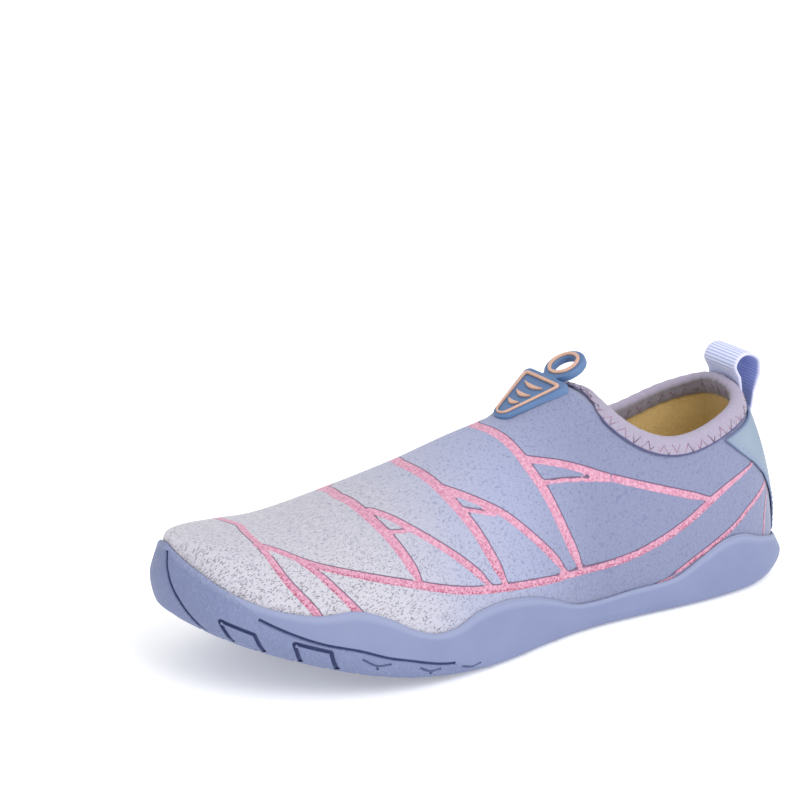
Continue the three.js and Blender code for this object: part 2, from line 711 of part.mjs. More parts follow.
// Seven drain holes go through the sole and the insole
const DRAINS = [
  { along: 0.717, across: 0.362 },
  { along: 0.651, across: 0.287 },
  { along: 0.577, across: 0.238 },
  { along: 0.514, across: 0.066 },
  { along: 0.422, across: 0.071 },
  { along: 0.6, across: -0.192 },
  { along: 0.683, across: -0.355 },
];

function drainCutters() {
  return DRAINS.map(({ along, across }) => {
    const x = along * SOLE_LENGTH;
    const height = 4 * SOLE_FLOOR + 4 * INSOLE;
    const pin = new THREE.CylinderGeometry(DRAIN_DIAMETER / 2, DRAIN_DIAMETER / 2, height, 12);
    pin.rotateX(Math.PI / 2);
    pin.translate(x, across * BALL_WIDTH, undersideHeight(x));
    return solidFrom(pin);
  });
}

// Grooves in the outer side: a parting line, two windows and a bow round the toe. Places are shares of
// the sole's length and of the rim's height at that place.
const SIDE_GROOVES = [
  { line: [[0.93, 0.78], [0.895, 0.66], [0.86, 0.56], [0.814, 0.47], [0.772, 0.4], [0.725, 0.42], [0.668, 0.36]] },
  { line: [[0.968, 0.26], [0.972, 0.52], [0.94, 0.5], [0.936, 0.24]] },
  { line: [[0.893, 0.22], [0.896, 0.52], [0.853, 0.46], [0.848, 0.22]] },
  { line: [[0.9995, 0.72], [0.998, 0.6], [0.993, 0.4], [0.986, 0.22]] },
];
const SIDE_STEPS = 2;

// A place on the sole's outer side, between the rounded edge, its widest level and the rim
function sidePlace(side, along, level) {
  const { place, outward } = edgePlace(side, along);
  const base = undersideHeight(place.x);
  const rim = rimCurves[side](along);
  const flare = flareCurves[side](along);
  const footX = clamp(place.x - outward.x * UPPER_INSET, UPPER_START, UPPER_END);
  const rimPoint = upperPoint(side, footX, turnAtHeight(side, footX, base + rim));
  const rimOut = rimPoint.setZ(0).sub(new THREE.Vector3(place.x, place.y, 0));
  const rimDistance = rimOut.dot(new THREE.Vector3(outward.x, outward.y, 0)) + FIT + RIM_THICKNESS;
  const distance = level < 0.5
    ? lerp(0.5 * flare, flare, clamp((level * rim - EDGE_ROUNDING) / (0.5 * rim - EDGE_ROUNDING), 0, 1))
    : lerp(flare, rimDistance, (level - 0.5) / 0.5);
  const point = new THREE.Vector3(
    place.x + outward.x * distance,
    place.y + outward.y * distance,
    base + level * rim,
  );
  return { point, normal: new THREE.Vector3(outward.x, outward.y, 0).normalize() };
}

function sideCutters() {
  return SIDE_GROOVES.map(({ line }) => {
    const places = [];
    line.slice(1).forEach((end, leg) => {
      const start = line[leg];
      for (let step = leg === 0 ? 0 : 1; step <= SIDE_STEPS; step++) {
        const share = step / SIDE_STEPS;
        const along = lerp(start[0], end[0], share);
        places.push(sidePlace("lateral", along, lerp(start[1], end[1], share)));
      }
    });
    const points = places.map(({ point }) => point);
    const normals = places.map(({ normal }) => normal);
    return grooveCutter(points, normals, SIDE_GROOVE_WIDTH, SIDE_GROOVE_DEPTH);
  });
}

const subtractAll = (solid, cutters) => cutters.reduce((left, cutter) => left.subtract(cutter), solid);

function soleGeometry() {
  const rings = [];
  for (let station = 0; station <= STATIONS; station++) {
    rings.push(soleRing(station));
  }
  const cup = solidFrom(skinGeometry(rings));
  return geometryFrom(subtractAll(cup, [...treadCutters(), ...sideCutters(), ...drainCutters()]));
}

// Insole: follows the inside of the upper's wall above the sole's floor
function insoleGeometry() {
  const rings = [];
  for (let station = 1; station < STATIONS; station++) {
    const half = (side) => {
      const foot = offsetPoint(side, station, 0, -WALL - FIT);
      const x = wallGrid[side][station][0].x;
      const turn = turnAtHeight(side, x, wallGrid[side][station][0].z + INSOLE);
      const above = upperPoint(side, x, turn);
      const top = above.clone().addScaledVector(wallNormals[side][station][0], -WALL - FIT);
      foot.z = undersideHeight(foot.x) + SOLE_FLOOR + FIT;
      top.z = undersideHeight(top.x) + SOLE_FLOOR + FIT + INSOLE;
      return [foot, top];
    };
    rings.push([...half("lateral"), ...half("medial").reverse()]);
  }
  const inside = rings.filter(([lateral, , , medial]) => lateral.y - medial.y > 2 * WALL);
  return geometryFrom(subtractAll(solidFrom(skinGeometry(inside)), drainCutters()));
}

// Heel's outer face on its centre line
const heelBack = (z) => UPPER_START + heelLean(UPPER_START, z);

// Everything within a distance of the collar's edge
function nearCollar(distance) {
  const edge = [];
  for (let station = 0; station <= COLLAR_STEPS; station++) {
    edge.push(wallGrid.lateral[station][WALL_ROWS]);
  }
  for (let station = COLLAR_STEPS - 1; station > 0; station--) {
    edge.push(wallGrid.medial[station][WALL_ROWS]);
  }
  const ball = (point) => wasm.Manifold.sphere(distance, 16).translate([point.x, point.y, point.z]);
  const links = edge.map((point, step) => {
    return wasm.Manifold.hull([ball(point), ball(edge[(step + 1) % edge.length])]);
  });
  return wasm.Manifold.union(links);
}

// Binding: elastic tape folded over the collar's edge. Grown is what a neighbour keeps clear of it.
function foldedTape(grown = 0) {
  const far = 1.5 * FIT + BINDING_THICKNESS + grown;
  const wrap = solidFrom(upperShell(far, -WALL - far, { rise: far + 2.5 * FIT }));
  return wrap.intersect(nearCollar(BINDING_WIDTH + grown));
}

const grownBinding = foldedTape(FIT);

function bindingGeometry() {
  const edge = solidFrom(upperShell(1.5 * FIT, -WALL - 1.5 * FIT, { rise: 4 * FIT }));
  const upper = solidFrom(upperShell(0, -WALL));
  const shifts = [[-FIT, 0, 0], [0, 0, FIT], [0, FIT, 0], [0, -FIT, 0]];
  const clear = shifts.reduce((sum, shift) => sum.add(upper.translate(shift)), edge);
  return geometryFrom(mainBody(foldedTape().subtract(clear).simplify(SLIVER)));
}

// Pull loop: ribbed webbing that rises behind the collar, turns over and comes down on the heel
function loopLine() {
  const seat = FIT + LOOP_THICKNESS / 2;
  const behindBinding = seat + FIT + BINDING_THICKNESS;
  const start = COLLAR_BACK_HEIGHT - BINDING_WIDTH;
  const top = COLLAR_BACK_HEIGHT + LOOP_RISE - LOOP_TOP_RADIUS;
  const front = heelBack(COLLAR_BACK_HEIGHT);
  const back = front - LOOP_DEPTH;
  const points = [
    [heelBack(start) - behindBinding - FIT, start],
    [heelBack(start + BINDING_WIDTH / 2) - behindBinding - FIT, start + BINDING_WIDTH / 2],
    [front - behindBinding - FIT, COLLAR_BACK_HEIGHT],
    [front, top],
    [lerp(front, back, 0.15), top + 0.75 * LOOP_TOP_RADIUS],
    [lerp(front, back, 0.45), top + LOOP_TOP_RADIUS],
    [lerp(front, back, 0.8), top + 0.7 * LOOP_TOP_RADIUS],
    [back, top],
    [back, COLLAR_BACK_HEIGHT],
    [heelBack(start) - behindBinding - 2.2 * LOOP_THICKNESS, start],
    [heelBack(LOOP_FOOT_HEIGHT + LOOP_WIDTH / 4) - 1.6 * seat, LOOP_FOOT_HEIGHT + LOOP_WIDTH / 4],
    [heelBack(LOOP_FOOT_HEIGHT) - seat, LOOP_FOOT_HEIGHT],
  ];
  return new THREE.CatmullRomCurve3(points.map(([x, z]) => new THREE.Vector3(x, 0, z)));
}

function loopGeometry() {
  const steps = 26;
  const acrossSteps = 4;
  const bendRadius = 0.36 * HEEL_WIDTH;
  const line = loopLine();
  const rings = [];
  for (let step = 0; step <= steps; step++) {
    const point = line.getPoint(step / steps);
    const ahead = line.getTangent(step / steps);
    const thick = new THREE.Vector3(-ahead.z, 0, ahead.x).multiplyScalar(LOOP_THICKNESS / 2);
    const bend = clamp((COLLAR_BACK_HEIGHT - point.z) / BINDING_WIDTH, 0, 1);
    const across = (share, face) => {
      const y = (share - 0.5) * LOOP_WIDTH;
      const shift = (bend * y * y) / (2 * bendRadius);
      return point.clone().addScaledVector(thick, face).add(new THREE.Vector3(shift, y, 0));
    };
    const ring = [];
    for (let column = 0; column <= acrossSteps; column++) {
      ring.push(across(column / acrossSteps, 1));
    }
    for (let column = acrossSteps; column >= 0; column--) {
      ring.push(across(column / acrossSteps, -1));
    }
    rings.push(ring);
  }
  return rings;
}

function pullLoopGeometry() {
  const band = solidFrom(skinGeometry(loopGeometry()));
  const clearOfUpper = solidFrom(upperShell(FIT, -WALL));
  return geometryFrom(mainBody(band.subtract(grownBinding).subtract(clearOfUpper)));
}

// Heel patch: a thin layer over the upper, cut by its outline from the side and round the webbing
function patchGeometry() {
  const layer = solidFrom(upperShell(FIT + PATCH_THICKNESS, FIT, { firstRow: 2, lift: 3 * FIT }));
  const outline = new THREE.Shape();
  const reach = HEEL_WIDTH;
  outline.moveTo(-reach, 0);
  outline.lineTo(PATCH_FOOT_LENGTH, 0);
  outline.lineTo(PATCH_FOOT_LENGTH, 0.2 * COLLAR_BACK_HEIGHT);
  outline.quadraticCurveTo(
    lerp(PATCH_FOOT_LENGTH, PATCH_TOP_LENGTH, 0.25),
    0.6 * COLLAR_BACK_HEIGHT,
    PATCH_TOP_LENGTH,
    0.84 * COLLAR_BACK_HEIGHT,
  );
  outline.lineTo(PATCH_TOP_LENGTH, 2 * COLLAR_BACK_HEIGHT);
  outline.lineTo(-reach, 2 * COLLAR_BACK_HEIGHT);
  const prism = new THREE.ExtrudeGeometry(outline, { depth: 2 * reach, bevelEnabled: false, curveSegments: 8 });
  prism.rotateX(Math.PI / 2);
  prism.translate(0, reach, 0);
  const notch = new THREE.BoxGeometry(reach, LOOP_WIDTH + 2 * FIT, COLLAR_BACK_HEIGHT);
  notch.translate(0, 0, LOOP_FOOT_HEIGHT - LOOP_THICKNESS + COLLAR_BACK_HEIGHT / 2);
  const cut = layer.intersect(solidFrom(prism)).subtract(solidFrom(notch)).subtract(grownBinding);
  return geometryFrom(mainBody(cut));
}

// Pull tab: a moulded shield sewn on the instep, with a finger ring over the throat. Its own plane has
// +X from the shield's tip to the ring and +Z out of the shoe.
function shieldShape(margin) {
  const shape = new THREE.Shape();
  const tipRadius = TAB_WIDTH / 5;
  const top = TAB_LENGTH - margin;
  const half = TAB_WIDTH / 2 - margin;
  const tip = tipRadius - 0.6 * margin;
  const corner = Math.max(TAB_CORNER - margin / 2, 0.8);
  shape.absarc(tipRadius, 0, tip, Math.PI * 0.62, Math.PI * 1.38, false);
  shape.lineTo(top - corner, -half);
  shape.quadraticCurveTo(top, -half, top, -half + corner);
  shape.lineTo(top, half - corner);
  shape.quadraticCurveTo(top, half, top - corner, half);
  shape.closePath();
  return shape;
}

const RING_CENTRE = TAB_LENGTH + RING_RADIUS - RING_OVERLAP;
const extrude = (shape, depth, z) => {
  const geometry = new THREE.ExtrudeGeometry(shape, { depth, bevelEnabled: false, curveSegments: 10 });
  geometry.translate(0, 0, z);
  return geometry;
};

const tabFrame = new THREE.Group();
const tipX = TAB_TIP * SOLE_LENGTH + TAB_CORNER;
tabFrame.position.set(tipX, TAB_ACROSS * BALL_WIDTH, ridgeHeight(tipX / SOLE_LENGTH) - TAB_SINK);
tabFrame.rotation.set(0, TAB_SLOPE, 0);
const tabTurn = new THREE.Group();
tabTurn.rotation.set(0, 0, Math.PI);
tabFrame.add(tabTurn);

function tabGeometry() {
  const sink = TAB_THICKNESS;
  const plate = solidFrom(extrude(shieldShape(0), TAB_THICKNESS + sink, -sink));
  const ring = new THREE.CylinderGeometry(RING_RADIUS, RING_RADIUS, TAB_THICKNESS, 28);
  ring.rotateX(Math.PI / 2);
  ring.translate(RING_CENTRE, 0, TAB_THICKNESS / 2);
  const hole = new THREE.CylinderGeometry(RING_HOLE_RADIUS, RING_HOLE_RADIUS, 4 * TAB_THICKNESS, 24);
  hole.rotateX(Math.PI / 2);
  hole.translate(RING_CENTRE, 0, 0);
  const neck = new THREE.BoxGeometry(RING_RADIUS, RING_NECK, TAB_THICKNESS);
  neck.translate(TAB_LENGTH, 0, TAB_THICKNESS / 2);
  const flat = geometryFrom(plate.add(solidFrom(ring)).add(solidFrom(neck)).subtract(solidFrom(hole)));
  tabFrame.updateMatrixWorld(true);
  flat.applyMatrix4(tabTurn.matrixWorld);
  const seat = solidFrom(upperShell(FIT, -3 * WALL));
  return geometryFrom(mainBody(solidFrom(flat).subtract(seat).subtract(grownBinding)));
}

function outlineTrimGeometry() {
  const shape = shieldShape(TRIM_MARGIN);
  shape.holes.push(new THREE.Path(shieldShape(TRIM_MARGIN + TRIM_WIDTH).getPoints(10).reverse()));
  return extrude(shape, TRIM_HEIGHT, TAB_THICKNESS + FIT);
}

function ringTrimGeometry() {
  const shape = new THREE.Shape();
  const middle = RING_HOLE_RADIUS + 0.65 * TRIM_WIDTH;
  shape.absarc(RING_CENTRE, 0, middle + TRIM_WIDTH / 2, 0, 2 * Math.PI, false);
  const hole = new THREE.Path();
  hole.absarc(RING_CENTRE, 0, middle - TRIM_WIDTH / 2, 0, 2 * Math.PI, true);
  shape.holes.push(hole);
  return extrude(shape, TRIM_HEIGHT, TAB_THICKNESS + FIT);
}

// Three crescents inside the shield, wider towards the ring
const GRIPS = [
  { along: 0.36, across: 0.26 },
  { along: 0.54, across: 0.36 },
  { along: 0.73, across: 0.46 },
];

function gripGeometry({ along, across }) {
  const x = along * TAB_LENGTH;
  const half = (across * TAB_WIDTH) / 2;
  const shape = new THREE.Shape();
  shape.moveTo(x, -half);
  shape.quadraticCurveTo(x - 0.6 * TRIM_WIDTH, 0, x, half);
  shape.quadraticCurveTo(x - 2.2 * TRIM_WIDTH, 0, x, -half);
  return extrude(shape, TRIM_HEIGHT, TAB_THICKNESS + FIT);
}

const plain = (name, color, roughness) =>
  new THREE.MeshStandardMaterial({ name, color, roughness, metalness: 0 });
const soleRubber = plain("sole rubber", 0xa0aedd, 0.6);
const foam = plain("insole foam", 0xd8cfb8, 0.85);
const knit = plain("knit", 0xc3c6dc, 0.9);
const tape = plain("elastic tape", 0xdcd6e8, 0.85);
const overlay = plain("heel overlay", 0xa9b6d6, 0.7);
const webbing = plain("webbing", 0x9fb0e0, 0.8);
const tabRubber = plain("tab rubber", 0x6f8fc6, 0.5);
const trimRubber = plain("trim rubber", 0xf0c0b0, 0.5);

const mesh = (name, geometry, material) => {
  const piece = new THREE.Mesh(geometry, material);
  piece.name = name;
  return piece;
};

const inner = new THREE.Group();
inner.add(mesh("sole", soleGeometry(), soleRubber));
inner.add(mesh("insole", insoleGeometry(), foam));
inner.add(mesh("upper", upperShell(0, -WALL), knit));
inner.add(mesh("collar_binding", bindingGeometry(), tape));
inner.add(mesh("heel_patch", patchGeometry(), overlay));
inner.add(mesh("pull_loop", pullLoopGeometry(), webbing));
inner.add(mesh("pull_tab", tabGeometry(), tabRubber));
tabTurn.add(mesh("tab_outline", outlineTrimGeometry(), trimRubber));
tabTurn.add(mesh("tab_ring_rim", ringTrimGeometry(), trimRubber));
GRIPS.forEach((grip, place) => {
  tabTurn.add(mesh(`tab_grip_${place + 1}`, gripGeometry(grip), trimRubber));
});
inner.add(tabFrame);

// The origin goes to the middle of the base of the box
const box = new THREE.Box3().setFromObject(inner);
const centre = box.getCenter(new THREE.Vector3());
inner.position.set(-centre.x, -centre.y, -box.min.z);

const shoe = new THREE.Group();
shoe.add(inner);

export default shoe;
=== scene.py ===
import bmesh
import bpy
import numpy as np
from mathutils import Matrix, Vector
from mathutils.bvhtree import BVHTree


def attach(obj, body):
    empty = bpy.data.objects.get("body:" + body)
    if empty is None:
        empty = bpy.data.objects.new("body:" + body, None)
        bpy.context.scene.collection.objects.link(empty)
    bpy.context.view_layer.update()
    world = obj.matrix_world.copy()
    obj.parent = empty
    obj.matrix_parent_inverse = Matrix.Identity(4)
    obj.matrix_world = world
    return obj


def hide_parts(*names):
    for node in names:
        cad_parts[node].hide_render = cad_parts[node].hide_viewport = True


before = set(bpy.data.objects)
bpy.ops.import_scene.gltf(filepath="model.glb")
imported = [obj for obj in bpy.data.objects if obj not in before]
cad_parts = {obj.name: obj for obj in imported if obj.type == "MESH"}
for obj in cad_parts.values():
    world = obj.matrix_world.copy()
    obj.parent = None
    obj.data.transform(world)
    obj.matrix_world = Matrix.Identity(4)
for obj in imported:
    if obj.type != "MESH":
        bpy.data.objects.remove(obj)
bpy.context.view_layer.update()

# Sole: one moulded cup of soft rubber, with a wavy rim round the upper, a rounded lower edge, a sprung
# toe and a tread of grooves. The upper is glued into it. The outline, side and grooves are cut in the mould.
SOLE_LENGTH = 248
BALL_WIDTH = 92
WAIST_WIDTH = 51
HEEL_WIDTH = 63
TOE_SPRING = 25
SPRING_START = 0.563
SPRING_CURVE = 1.74
HEEL_ROUNDING = 3
HEEL_ROUNDING_LENGTH = 24
SOLE_FLOOR = 5
RIM_HEIGHT = 24
RIM_THICKNESS = 1.5
FLARE = 2.5
EDGE_ROUNDING = 3.5
GROOVE_WIDTH = 1.5
GROOVE_DEPTH = 1.2
DRAIN_DIAMETER = 3.5
INSTEP_HEIGHT = 83
COLLAR_BACK_HEIGHT = 76
COLLAR_LENGTH = 82
HEEL_LEAN = 17
HEEL_LEAN_START = 15
HEEL_LEAN_REACH = 70
HEEL_LEAN_CURVE = 1.7
UPPER_INSET = 1.2
FIT = 0.3

# The tread's edge, as shares of the length along and of the named width across
OUTLINE = {
    "along": (0, 0.008, 0.02, 0.04, 0.08, 0.12, 0.18, 0.24, 0.3, 0.4, 0.48, 0.54, 0.605, 0.665, 0.726,
              0.786, 0.847, 0.907, 0.944, 0.98, 0.992, 1),
    "width": (HEEL_WIDTH,) * 8 + (WAIST_WIDTH,) * 3 + (BALL_WIDTH,) * 11,
    "lateral": (0, 0.25, 0.32, 0.39, 0.462, 0.495, 0.513, 0.51, 0.616, 0.62, 0.686, 0.421, 0.454, 0.475,
                0.482, 0.459, 0.4, 0.309, 0.23, 0.095, 0.005, -0.109),
    "medial": (0, 0.243, 0.317, 0.395, 0.471, 0.495, 0.478, 0.425, 0.445, 0.365, 0.416, 0.292, 0.374,
               0.452, 0.497, 0.5, 0.48, 0.433, 0.383, 0.289, 0.221, 0.109),
}
# The rim's height and the sides' flare, as shares of the rim's height and of the flare
SIDE = {
    "along": (0, 0.02, 0.07, 0.12, 0.155, 0.195, 0.24, 0.32, 0.39, 0.425, 0.47, 0.52, 0.57, 0.615, 0.655,
              0.69, 0.725, 0.76, 0.8, 0.86, 0.915, 0.96, 0.99, 1),
    "lateral": (0.42, 0.55, 0.78, 0.95, 0.92, 0.75, 0.54, 0.48, 0.45, 0.5, 0.7, 0.87, 0.94, 0.88, 0.72,
                0.67, 0.73, 0.86, 0.92, 0.76, 0.7, 0.75, 0.92, 1.08),
    "medial": (0.42, 0.55, 0.76, 0.88, 0.86, 0.76, 0.65, 0.6, 0.6, 0.62, 0.7, 0.82, 0.88, 0.84, 0.76,
               0.7, 0.72, 0.78, 0.84, 0.82, 0.8, 0.88, 1.02, 1.08),
    "lateral_flare": (1, 1, 0.9, 0.7, 0.6, 0.5, 0.5, 0.5, 0.5, 0.5, 0.5, 0.5, 0.5, 0.6, 0.6, 0.6, 0.6,
                      0.6, 0.7, 0.8, 0.9, 1, 1, 1),
    "medial_flare": (1, 1, 0.9, 1, 1.2, 1.5, 1.9, 2.2, 2.2, 2.1, 1.9, 1.5, 1.1, 0.9, 0.7, 0.6, 0.6, 0.6,
                     0.7, 0.8, 0.9, 1, 1, 1),
}
# The upper's ridge: height and place across as shares of the instep's height and of the ball's width,
# and how square the section is on each side
RIDGE = {
    "along": (0, 0.2, 0.335, 0.38, 0.42, 0.46, 0.54, 0.62, 0.7, 0.77, 0.83, 0.89, 0.935, 0.97, 0.99, 1),
    "height": (1.02, 0.98, 0.975, 0.968, 0.945, 0.904, 0.842, 0.765, 0.698, 0.647, 0.621, 0.632, 0.641,
               0.646, 0.644, 0.64),
    "across": (0, 0, -0.045, -0.055, -0.065, -0.07, -0.08, -0.088, -0.09, -0.095, -0.1, -0.105, -0.11,
               -0.11, -0.11, -0.11),
    "lateral": (2.5, 2.5, 2.4, 2.3, 2.25, 2.2, 2.15, 2.1, 2.1, 2.15, 2.25, 2.5, 2.8, 3.2, 3.6, 3.8),
    "medial": (2.5, 2.5, 2.4, 2.3, 2.3, 2.3, 2.3, 2.3, 2.3, 2.35, 2.45, 2.6, 2.9, 3.2, 3.6, 3.8),
}
# The collar's edge from the back of the heel to the throat, as shares of its length and back height
COLLAR = {
    "along": (0, 0.06, 0.16, 0.3, 0.45, 0.6, 0.72, 0.82, 0.9, 0.95, 0.985, 1),
    "height": (0.98, 0.94, 0.91, 0.88, 0.845, 0.82, 0.825, 0.86, 0.914, 0.967, 1.025, 1.06),
}
SIDES = {"lateral": 1, "medial": -1}


def spread(along):
    return np.arccos(np.clip(1 - 2 * np.asarray(along, float), -1, 1))


def table_curve(along, values):
    """A smooth curve through a table's column. Its places are spread out towards both ends."""
    places = spread(along)
    values = np.asarray(values, float)
    secants = np.diff(values) / np.diff(places)
    slopes = np.concatenate([secants[:1], (secants[:-1] + secants[1:]) / 2, secants[-1:]])

    def curve(at):
        place = spread(at)
        row = np.clip(np.searchsorted(places, place) - 1, 0, len(secants) - 1)
        gap = places[row + 1] - places[row]
        part = (place - places[row]) / gap
        rise = part * part * (3 - 2 * part)
        start = part * (1 - part) ** 2 * gap * slopes[row]
        end = part * part * (part - 1) * gap * slopes[row + 1]
        return values[row] * (1 - rise) + values[row + 1] * rise + start + end

    return curve


outline_across = {
    side: table_curve(OUTLINE["along"], sign * np.multiply(OUTLINE["width"], OUTLINE[side]))
    for side, sign in SIDES.items()
}
rim_height = {side: table_curve(SIDE["along"], np.multiply(RIM_HEIGHT, SIDE[side])) for side in SIDES}
flare_width = {side: table_curve(SIDE["along"], np.multiply(FLARE, SIDE[side + "_flare"])) for side in SIDES}
ridge_height = table_curve(RIDGE["along"], np.multiply(INSTEP_HEIGHT, RIDGE["height"]))
ridge_across = table_curve(RIDGE["along"], np.multiply(BALL_WIDTH, RIDGE["across"]))
squareness = {side: table_curve(RIDGE["along"], RIDGE[side]) for side in SIDES}
collar_height = table_curve(COLLAR["along"], np.multiply(COLLAR_BACK_HEIGHT, COLLAR["height"]))


def underside(x):
    """Height of the sole's underside: flat, rounded up at the heel's back and sprung up at the toe."""
    start = SPRING_START * SOLE_LENGTH
    spring = np.maximum(0, (x - start) / (SOLE_LENGTH - start))
    rounding = np.clip(1 - x / HEEL_ROUNDING_LENGTH, 0, 1)
    return TOE_SPRING * spring ** SPRING_CURVE + HEEL_ROUNDING * rounding**2


def edge_place(side, along):
    """Places on the tread's edge, and the way out from it in plan."""
    step = 0.0004
    along = np.atleast_1d(np.asarray(along, float))

    def at(share):
        share = np.clip(share, 0, 1)
        return np.stack([share * SOLE_LENGTH, outline_across[side](share)], axis=-1)

    ahead = at(along + step) - at(along - step)
    ahead /= np.linalg.norm(ahead, axis=-1, keepdims=True)
    outward = SIDES[side] * np.stack([-ahead[:, 1], ahead[:, 0]], axis=-1)
    outward[along <= 0] = (-1, 0)
    outward[along >= 1] = (1, 0)
    return at(along), outward


UPPER_START = UPPER_INSET
UPPER_END = SOLE_LENGTH - UPPER_INSET
feather = {}
for side in SIDES:
    place, outward = edge_place(side, (1 - np.cos(np.linspace(0, np.pi, 161))) / 2)
    feather[side] = place - UPPER_INSET * outward


def heel_lean(x, z):
    """How far the heel's back leans forward at a height. It fades out along the ankle."""
    climb = np.clip((z - HEEL_LEAN_START) / (COLLAR_BACK_HEIGHT - HEEL_LEAN_START), 0, 1.2)
    return HEEL_LEAN * climb**HEEL_LEAN_CURVE * np.clip(1 - x / HEEL_LEAN_REACH, 0, 1) ** 2


def section(side, x):
    """The upper's cross-section: ridge across, reach to the side, foot and top heights, squareness."""
    along = np.clip(x / SOLE_LENGTH, 0, 1)
    across = ridge_across(along)
    reach = (np.interp(x, feather[side][:, 0], feather[side][:, 1]) - across) * SIDES[side]
    return across, reach, underside(x) + SOLE_FLOOR + FIT, ridge_height(along), squareness[side](along)


def upper_point(side, x, turn):
    """Points of the upper's outer face, from the feather line at turn 0 to the ridge at a quarter turn."""
    across, reach, foot, top, square = section(side, x)
    out = np.maximum(0, np.cos(turn)) ** (2 / square)
    z = foot + (top - foot) * np.maximum(0, np.sin(turn)) ** (2 / square)
    return np.stack([x + heel_lean(x, z), across + SIDES[side] * reach * out, z], axis=-1)


def turn_at_height(side, x, z):
    _, _, foot, top, square = section(side, x)
    up = np.clip((z - foot) / (top - foot), 0, 1)
    return np.arcsin(np.clip(up ** (square / 2), 0, 1))


def foot_of(side, along):
    """The x at which the upper stands over a place of the tread's edge."""
    place, outward = edge_place(side, along)
    return np.clip(place[:, 0] - UPPER_INSET * outward[:, 0], UPPER_START, UPPER_END)


def rim_turn(side, along):
    place, _ = edge_place(side, along)
    return turn_at_height(side, foot_of(side, along), underside(place[:, 0]) + rim_height[side](along))


def catmull_rom(controls, counts):
    """Points on a smooth curve through the first axis of controls, with a count for each span."""
    controls = np.asarray(controls, float)
    padded = np.concatenate([2 * controls[:1] - controls[1:2], controls, 2 * controls[-1:] - controls[-2:-1]])
    run = []
    for span, count in enumerate(counts):
        before, start, end, after = padded[span : span + 4]
        for share in np.arange(count) / count:
            bend = 2 * before - 5 * start + 4 * end - after
            twist = 3 * start - before - 3 * end + after
            run.append(0.5 * (2 * start + (end - before) * share + bend * share**2 + twist * share**3))
    return np.array(run + [controls[-1]])


def unit(vectors):
    return vectors / np.maximum(np.linalg.norm(vectors, axis=-1, keepdims=True), 1e-9)


def round_shoe(lateral, medial):
    """One closed run round the shoe: heel to toe on the lateral side and back on the medial side."""
    return np.concatenate([lateral, medial[-2:0:-1]])


def facing(grid):
    """Outward normals of a grid that runs round the shoe and, in its second axis, up the wall."""
    ahead = np.roll(grid, -1, axis=0) - np.roll(grid, 1, axis=0)
    ways = np.cross(np.gradient(grid, axis=1), ahead)
    for row in range(1, ways.shape[1]):
        flat = np.linalg.norm(ways[:, row], axis=-1) < 1e-7
        ways[flat, row] = ways[flat, row - 1]
    return unit(ways)


def grid_faces(columns, rows, wrap_columns=True, wrap_rows=False):
    """Quads of a grid of points that is stored column after column."""
    column = np.arange(columns if wrap_columns else columns - 1)[:, None]
    row = np.arange(rows if wrap_rows else rows - 1)[None, :]
    beside = (column + 1) % columns
    above = (row + 1) % rows
    corners = [column * rows + row, column * rows + above, beside * rows + above, beside * rows + row]
    return np.stack([corner.ravel() for corner in corners], axis=1).tolist()


def end_faces(columns, rows):
    """The two faces that close the ends of a tube."""
    last = (columns - 1) * rows
    return [list(range(rows)), [last + row for row in reversed(range(rows))]]


def way_ahead(line, closed=False):
    """The way ahead at each point of a line, which may be a loop."""
    return unit(np.roll(line, -1, axis=0) - np.roll(line, 1, axis=0) if closed else np.gradient(line, axis=0))


def bowed(start, middle, end, count):
    """Points on a curve that leaves one place, is drawn towards a second and reaches a third."""
    share = np.linspace(0, 1, count)[:, None]
    start, middle, end = np.array([start, middle, end])
    return (1 - share) ** 2 * start + 2 * share * (1 - share) * middle + share**2 * end


def distance_along(line):
    return np.concatenate([[0], np.cumsum(np.linalg.norm(np.diff(line, axis=0), axis=1))])


def at_distances(line, run, distances):
    """Points of a line at distances along it."""
    return np.column_stack([np.interp(distances, run, column) for column in line.T])


def side_grid(controls, rows):
    """Columns of points up the shoe's side, from a curve through the controls of every station."""
    return catmull_rom(controls, rows).transpose(1, 0, 2)


ORIGIN = (SOLE_LENGTH / 2, -0.9288, 0)
MM = 0.001


def make_mesh(name, points, faces, values=None):
    """A mesh object from millimetres, with its shared points merged and its named values on the points."""
    mesh = bpy.data.meshes.new(name)
    mesh.from_pydata(((np.asarray(points) - ORIGIN) * MM).tolist(), [], faces)
    for label, column in (values or {}).items():
        kind = "FLOAT" if np.ndim(column) == 1 else "FLOAT_VECTOR"
        field = "value" if kind == "FLOAT" else "vector"
        mesh.attributes.new(label, kind, "POINT").data.foreach_set(field, np.ravel(column).astype(np.float32))
    cleaned = bmesh.new()
    cleaned.from_mesh(mesh)
    bmesh.ops.remove_doubles(cleaned, verts=cleaned.verts, dist=2e-6)
    bmesh.ops.dissolve_degenerate(cleaned, edges=cleaned.edges, dist=1e-7)
    cleaned.to_mesh(mesh)
    cleaned.free()
    shape = bpy.data.objects.new(name, mesh)
    bpy.context.scene.collection.objects.link(shape)
    return shape


def apply_modifiers(shape):
    """The object's mesh as its modifiers leave it."""
    settled = shape.evaluated_get(bpy.context.evaluated_depsgraph_get())
    mesh = bpy.data.meshes.new_from_object(settled)
    shape.modifiers.clear()
    shape.data = mesh
    return mesh


def dress(shape, finish, nodes, sharp=38):
    """Finishes a piece: its shading, its material, its place under the root body, and hides the CAD nodes
    that it stands for.
    """
    shape.data.shade_smooth()
    shape.data.set_sharp_from_angle(angle=np.radians(sharp))
    shape.data.materials.clear()
    shape.data.materials.append(finish.material)
    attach(shape, "root")
    if nodes:
        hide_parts(*nodes)


